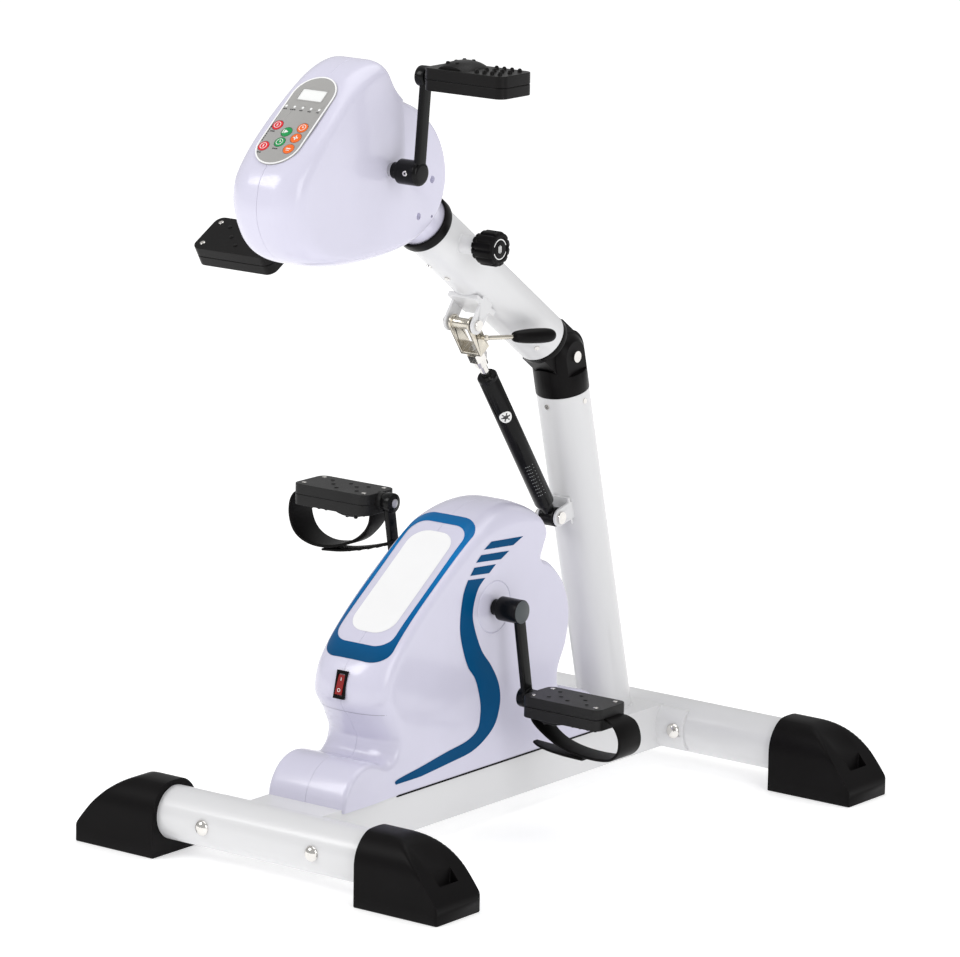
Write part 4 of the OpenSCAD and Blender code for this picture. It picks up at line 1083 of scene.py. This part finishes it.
def make_console():
    place = Matrix.Translation(CONSOLE_MID) @ Matrix.Rotation(CONSOLE_SLOPE, 4, "X")
    bm = bmesh.new()
    flat_ring(bm, oval(PLATE[0] - 0.2, PLATE[1] - 0.2), oval(PLATE[0] - 3.4, PLATE[1] - 3.4),
              1.0, 1.95, place)
    piece("console_rim", bm, WHITE_FILM, "head")
    bm = bmesh.new()
    flat_ring(bm, rounded_box(35.5, 18.5, 1.6, 4, (-1, 36)), rounded_box(32.6, 15.6, 0.8, 4, (-1, 36)),
              1.2, 1.85, place)
    piece("display_rim", bm, FILM, "head")
    bm = bmesh.new()
    captions = [(x, LAMP_UP - 4.2, width, 1.5) for x, width in zip(LAMPS, (6.5, 7.5, 4.5, 4.5, 3.5))]
    captions += [(-20, -18.5, 6, 1.7), (-20.5, -48.5, 8, 1.7), (-2.5, -41, 7, 1.7)]
    for x, up, width, height in captions:
        part = width / 3
        for k in range(3):
            middle = (x - width / 2 + part * (k + 0.5), up)
            prism(bm, rounded_box(part * 0.8, height, 0.3, 2, middle), *INK_LEVELS, place)
    for k in range(7):
        prism(bm, rounded_box(1.4, 2.2, 0.3, 2, (-25.2, -13 - 3.2 * k)), *INK_LEVELS, place)
    piece("console_marks", bm, INK, "head")


def key_icon(bm, kind, place):
    """Small light mark on the top of a key, made of bars: width, height, corner radius, x, y."""
    bars = {"ring": [(1.2, 3.4, 0.4, 0, 0)],
            "clock": [(0.8, 2.8, 0.3, 0, 1.0), (2.4, 0.8, 0.3, 1.0, 0)],
            "play": [(1.2, 5.2, 0.3, -4.0, 0)],
            "plus": [(6.0, 1.4, 0.4, 0, 0), (1.4, 6.0, 0.4, 0, 0)],
            "minus": [(6.0, 1.4, 0.4, 0, 0), (4.2, 0.8, 0.3, 0, -2.4)]}
    if kind in ("ring", "clock"):
        flat_ring(bm, circle(4.2, 28), circle(3.5, 28), *ICON_LEVELS, place)
    if kind == "play":
        prism(bm, [(-2.4, -2.6), (2.8, 0), (-2.4, 2.6)], *ICON_LEVELS, place)
    for width, height, radius, x, y in bars[kind]:
        prism(bm, rounded_box(width, height, radius, 3, (x, y)), *ICON_LEVELS, place)


def make_keys():
    icons = {"red_upper": "ring", "red_lower": "ring", "green_upper": "play", "green_lower": "clock",
             "orange_upper": "clock", "orange_middle": "plus", "orange_lower": "minus"}
    turn = Matrix.Rotation(CONSOLE_SLOPE, 4, "X")
    for body, icon in icons.items():
        node = body + "_key"
        low, high = box_mm(node)
        middle = (low + high) / 2
        place = Matrix.Translation(middle) @ turn
        word = body.split("_")[0]
        bm = bmesh.new()
        lathe(bm, [(6.3, -1.9), (6.3, 1.1), (6.0, 1.5), (5.2, 1.68), (3, 1.76), (0, 1.8)], place, 40)
        piece(f"{body}_button", bm, KEY_LOOKS[word], body, [node])
        bm = bmesh.new()
        key_icon(bm, icon, place @ Matrix.Translation((0, 0, 1.76)))
        piece(f"{body}_icon", bm, LIGHT_INK, body)


# ------ floor, lights and camera

def area_light(name, place, target, size, power):
    lamp = bpy.data.lights.new(name, "AREA")
    lamp.shape = "RECTANGLE"
    lamp.size, lamp.size_y = size
    lamp.energy = power
    thing = bpy.data.objects.new(name, lamp)
    thing.location = place
    thing.rotation_mode = "QUATERNION"
    thing.rotation_quaternion = (Vector(target) - Vector(place)).to_track_quat("-Z", "Y")
    bpy.context.scene.collection.objects.link(thing)


def make_stage():
    size = 14.0
    mesh = bpy.data.meshes.new("floor")
    corners = [(-size, -size, 0), (size, -size, 0), (size, size, 0), (-size, size, 0)]
    mesh.from_pydata(corners, [], [(0, 1, 2, 3)])
    floor = bpy.data.objects.new("floor", mesh)
    floor.location.z = -0.0003
    paper = material("floor", (0.85, 0.85, 0.85), 0.7, fade=0.004, fade_size=0.5, gleam=0.1)
    tree = paper.node_tree
    spot = add_node(tree, "TexCoord", {})
    away = add_node(tree, "VectorMath", {0: spot.outputs["Object"]})
    away.operation = "LENGTH"
    glow = add_node(tree, "MapRange", {"Value": away.outputs["Value"], "From Min": 0.7, "From Max": 3.5,
                                       "To Min": 0.42, "To Max": 0.66})
    feed(tree, tree.nodes["Principled BSDF"], {"Emission Color": (1, 1, 1, 1),
                                               "Emission Strength": glow.outputs["Result"]})
    mesh.materials.append(paper)
    bpy.context.scene.collection.objects.link(floor)
    world = bpy.data.worlds.new("world")
    world.use_nodes = True
    sky = world.node_tree
    feed(sky, sky.nodes["Background"], {"Color": (1, 1, 1, 1), "Strength": 0.5})
    bpy.context.scene.world = world
    middle = (0, 0, 0.4)
    area_light("key", (-1.6, -2.6, 2.6), middle, (1.6, 1.6), 44)
    area_light("fill", (3.0, -1.2, 1.6), middle, (1.2, 2.2), 24)
    area_light("top", (0.3, 0.6, 3.2), middle, (2.4, 2.4), 30)
    bpy.context.scene.view_settings.view_transform = "Standard"


CAMERA_AT = (3.6789, -4.8220, 1.7232)
CAMERA_AZIMUTH = math.radians(37.21)
CAMERA_ELEVATION = math.radians(12.49)
CAMERA_ROLL = math.radians(0.92)
SENSOR = 36.0
FOCAL_SHARE = 5648.6 / 960


def make_camera():
    a, e, r = CAMERA_AZIMUTH, CAMERA_ELEVATION, CAMERA_ROLL
    back = Vector((math.sin(a) * math.cos(e), -math.cos(a) * math.cos(e), math.sin(e)))
    right = UP.cross(back).normalized()
    up = back.cross(right)
    x = right * math.cos(r) + up * math.sin(r)
    y = up * math.cos(r) - right * math.sin(r)
    data = bpy.data.cameras.new("camera")
    data.sensor_width = SENSOR
    data.lens = SENSOR * FOCAL_SHARE
    camera = bpy.data.objects.new("camera", data)
    camera.matrix_world = Matrix.Translation(CAMERA_AT) @ Matrix((x, y, back)).transposed().to_4x4()
    bpy.context.scene.collection.objects.link(camera)
    bpy.context.scene.camera = camera


make_camera()
make_stage()
dress_kept_nodes()
outer_surface = make_casings()
make_side_prints(outer_surface)
make_painted_shade_line(outer_surface)
make_panel(outer_surface)
make_tubes()
make_feet()
make_cranks()
make_knob()
make_spring()
make_small_parts()
make_lever()
make_beads()
make_console()
make_keys()
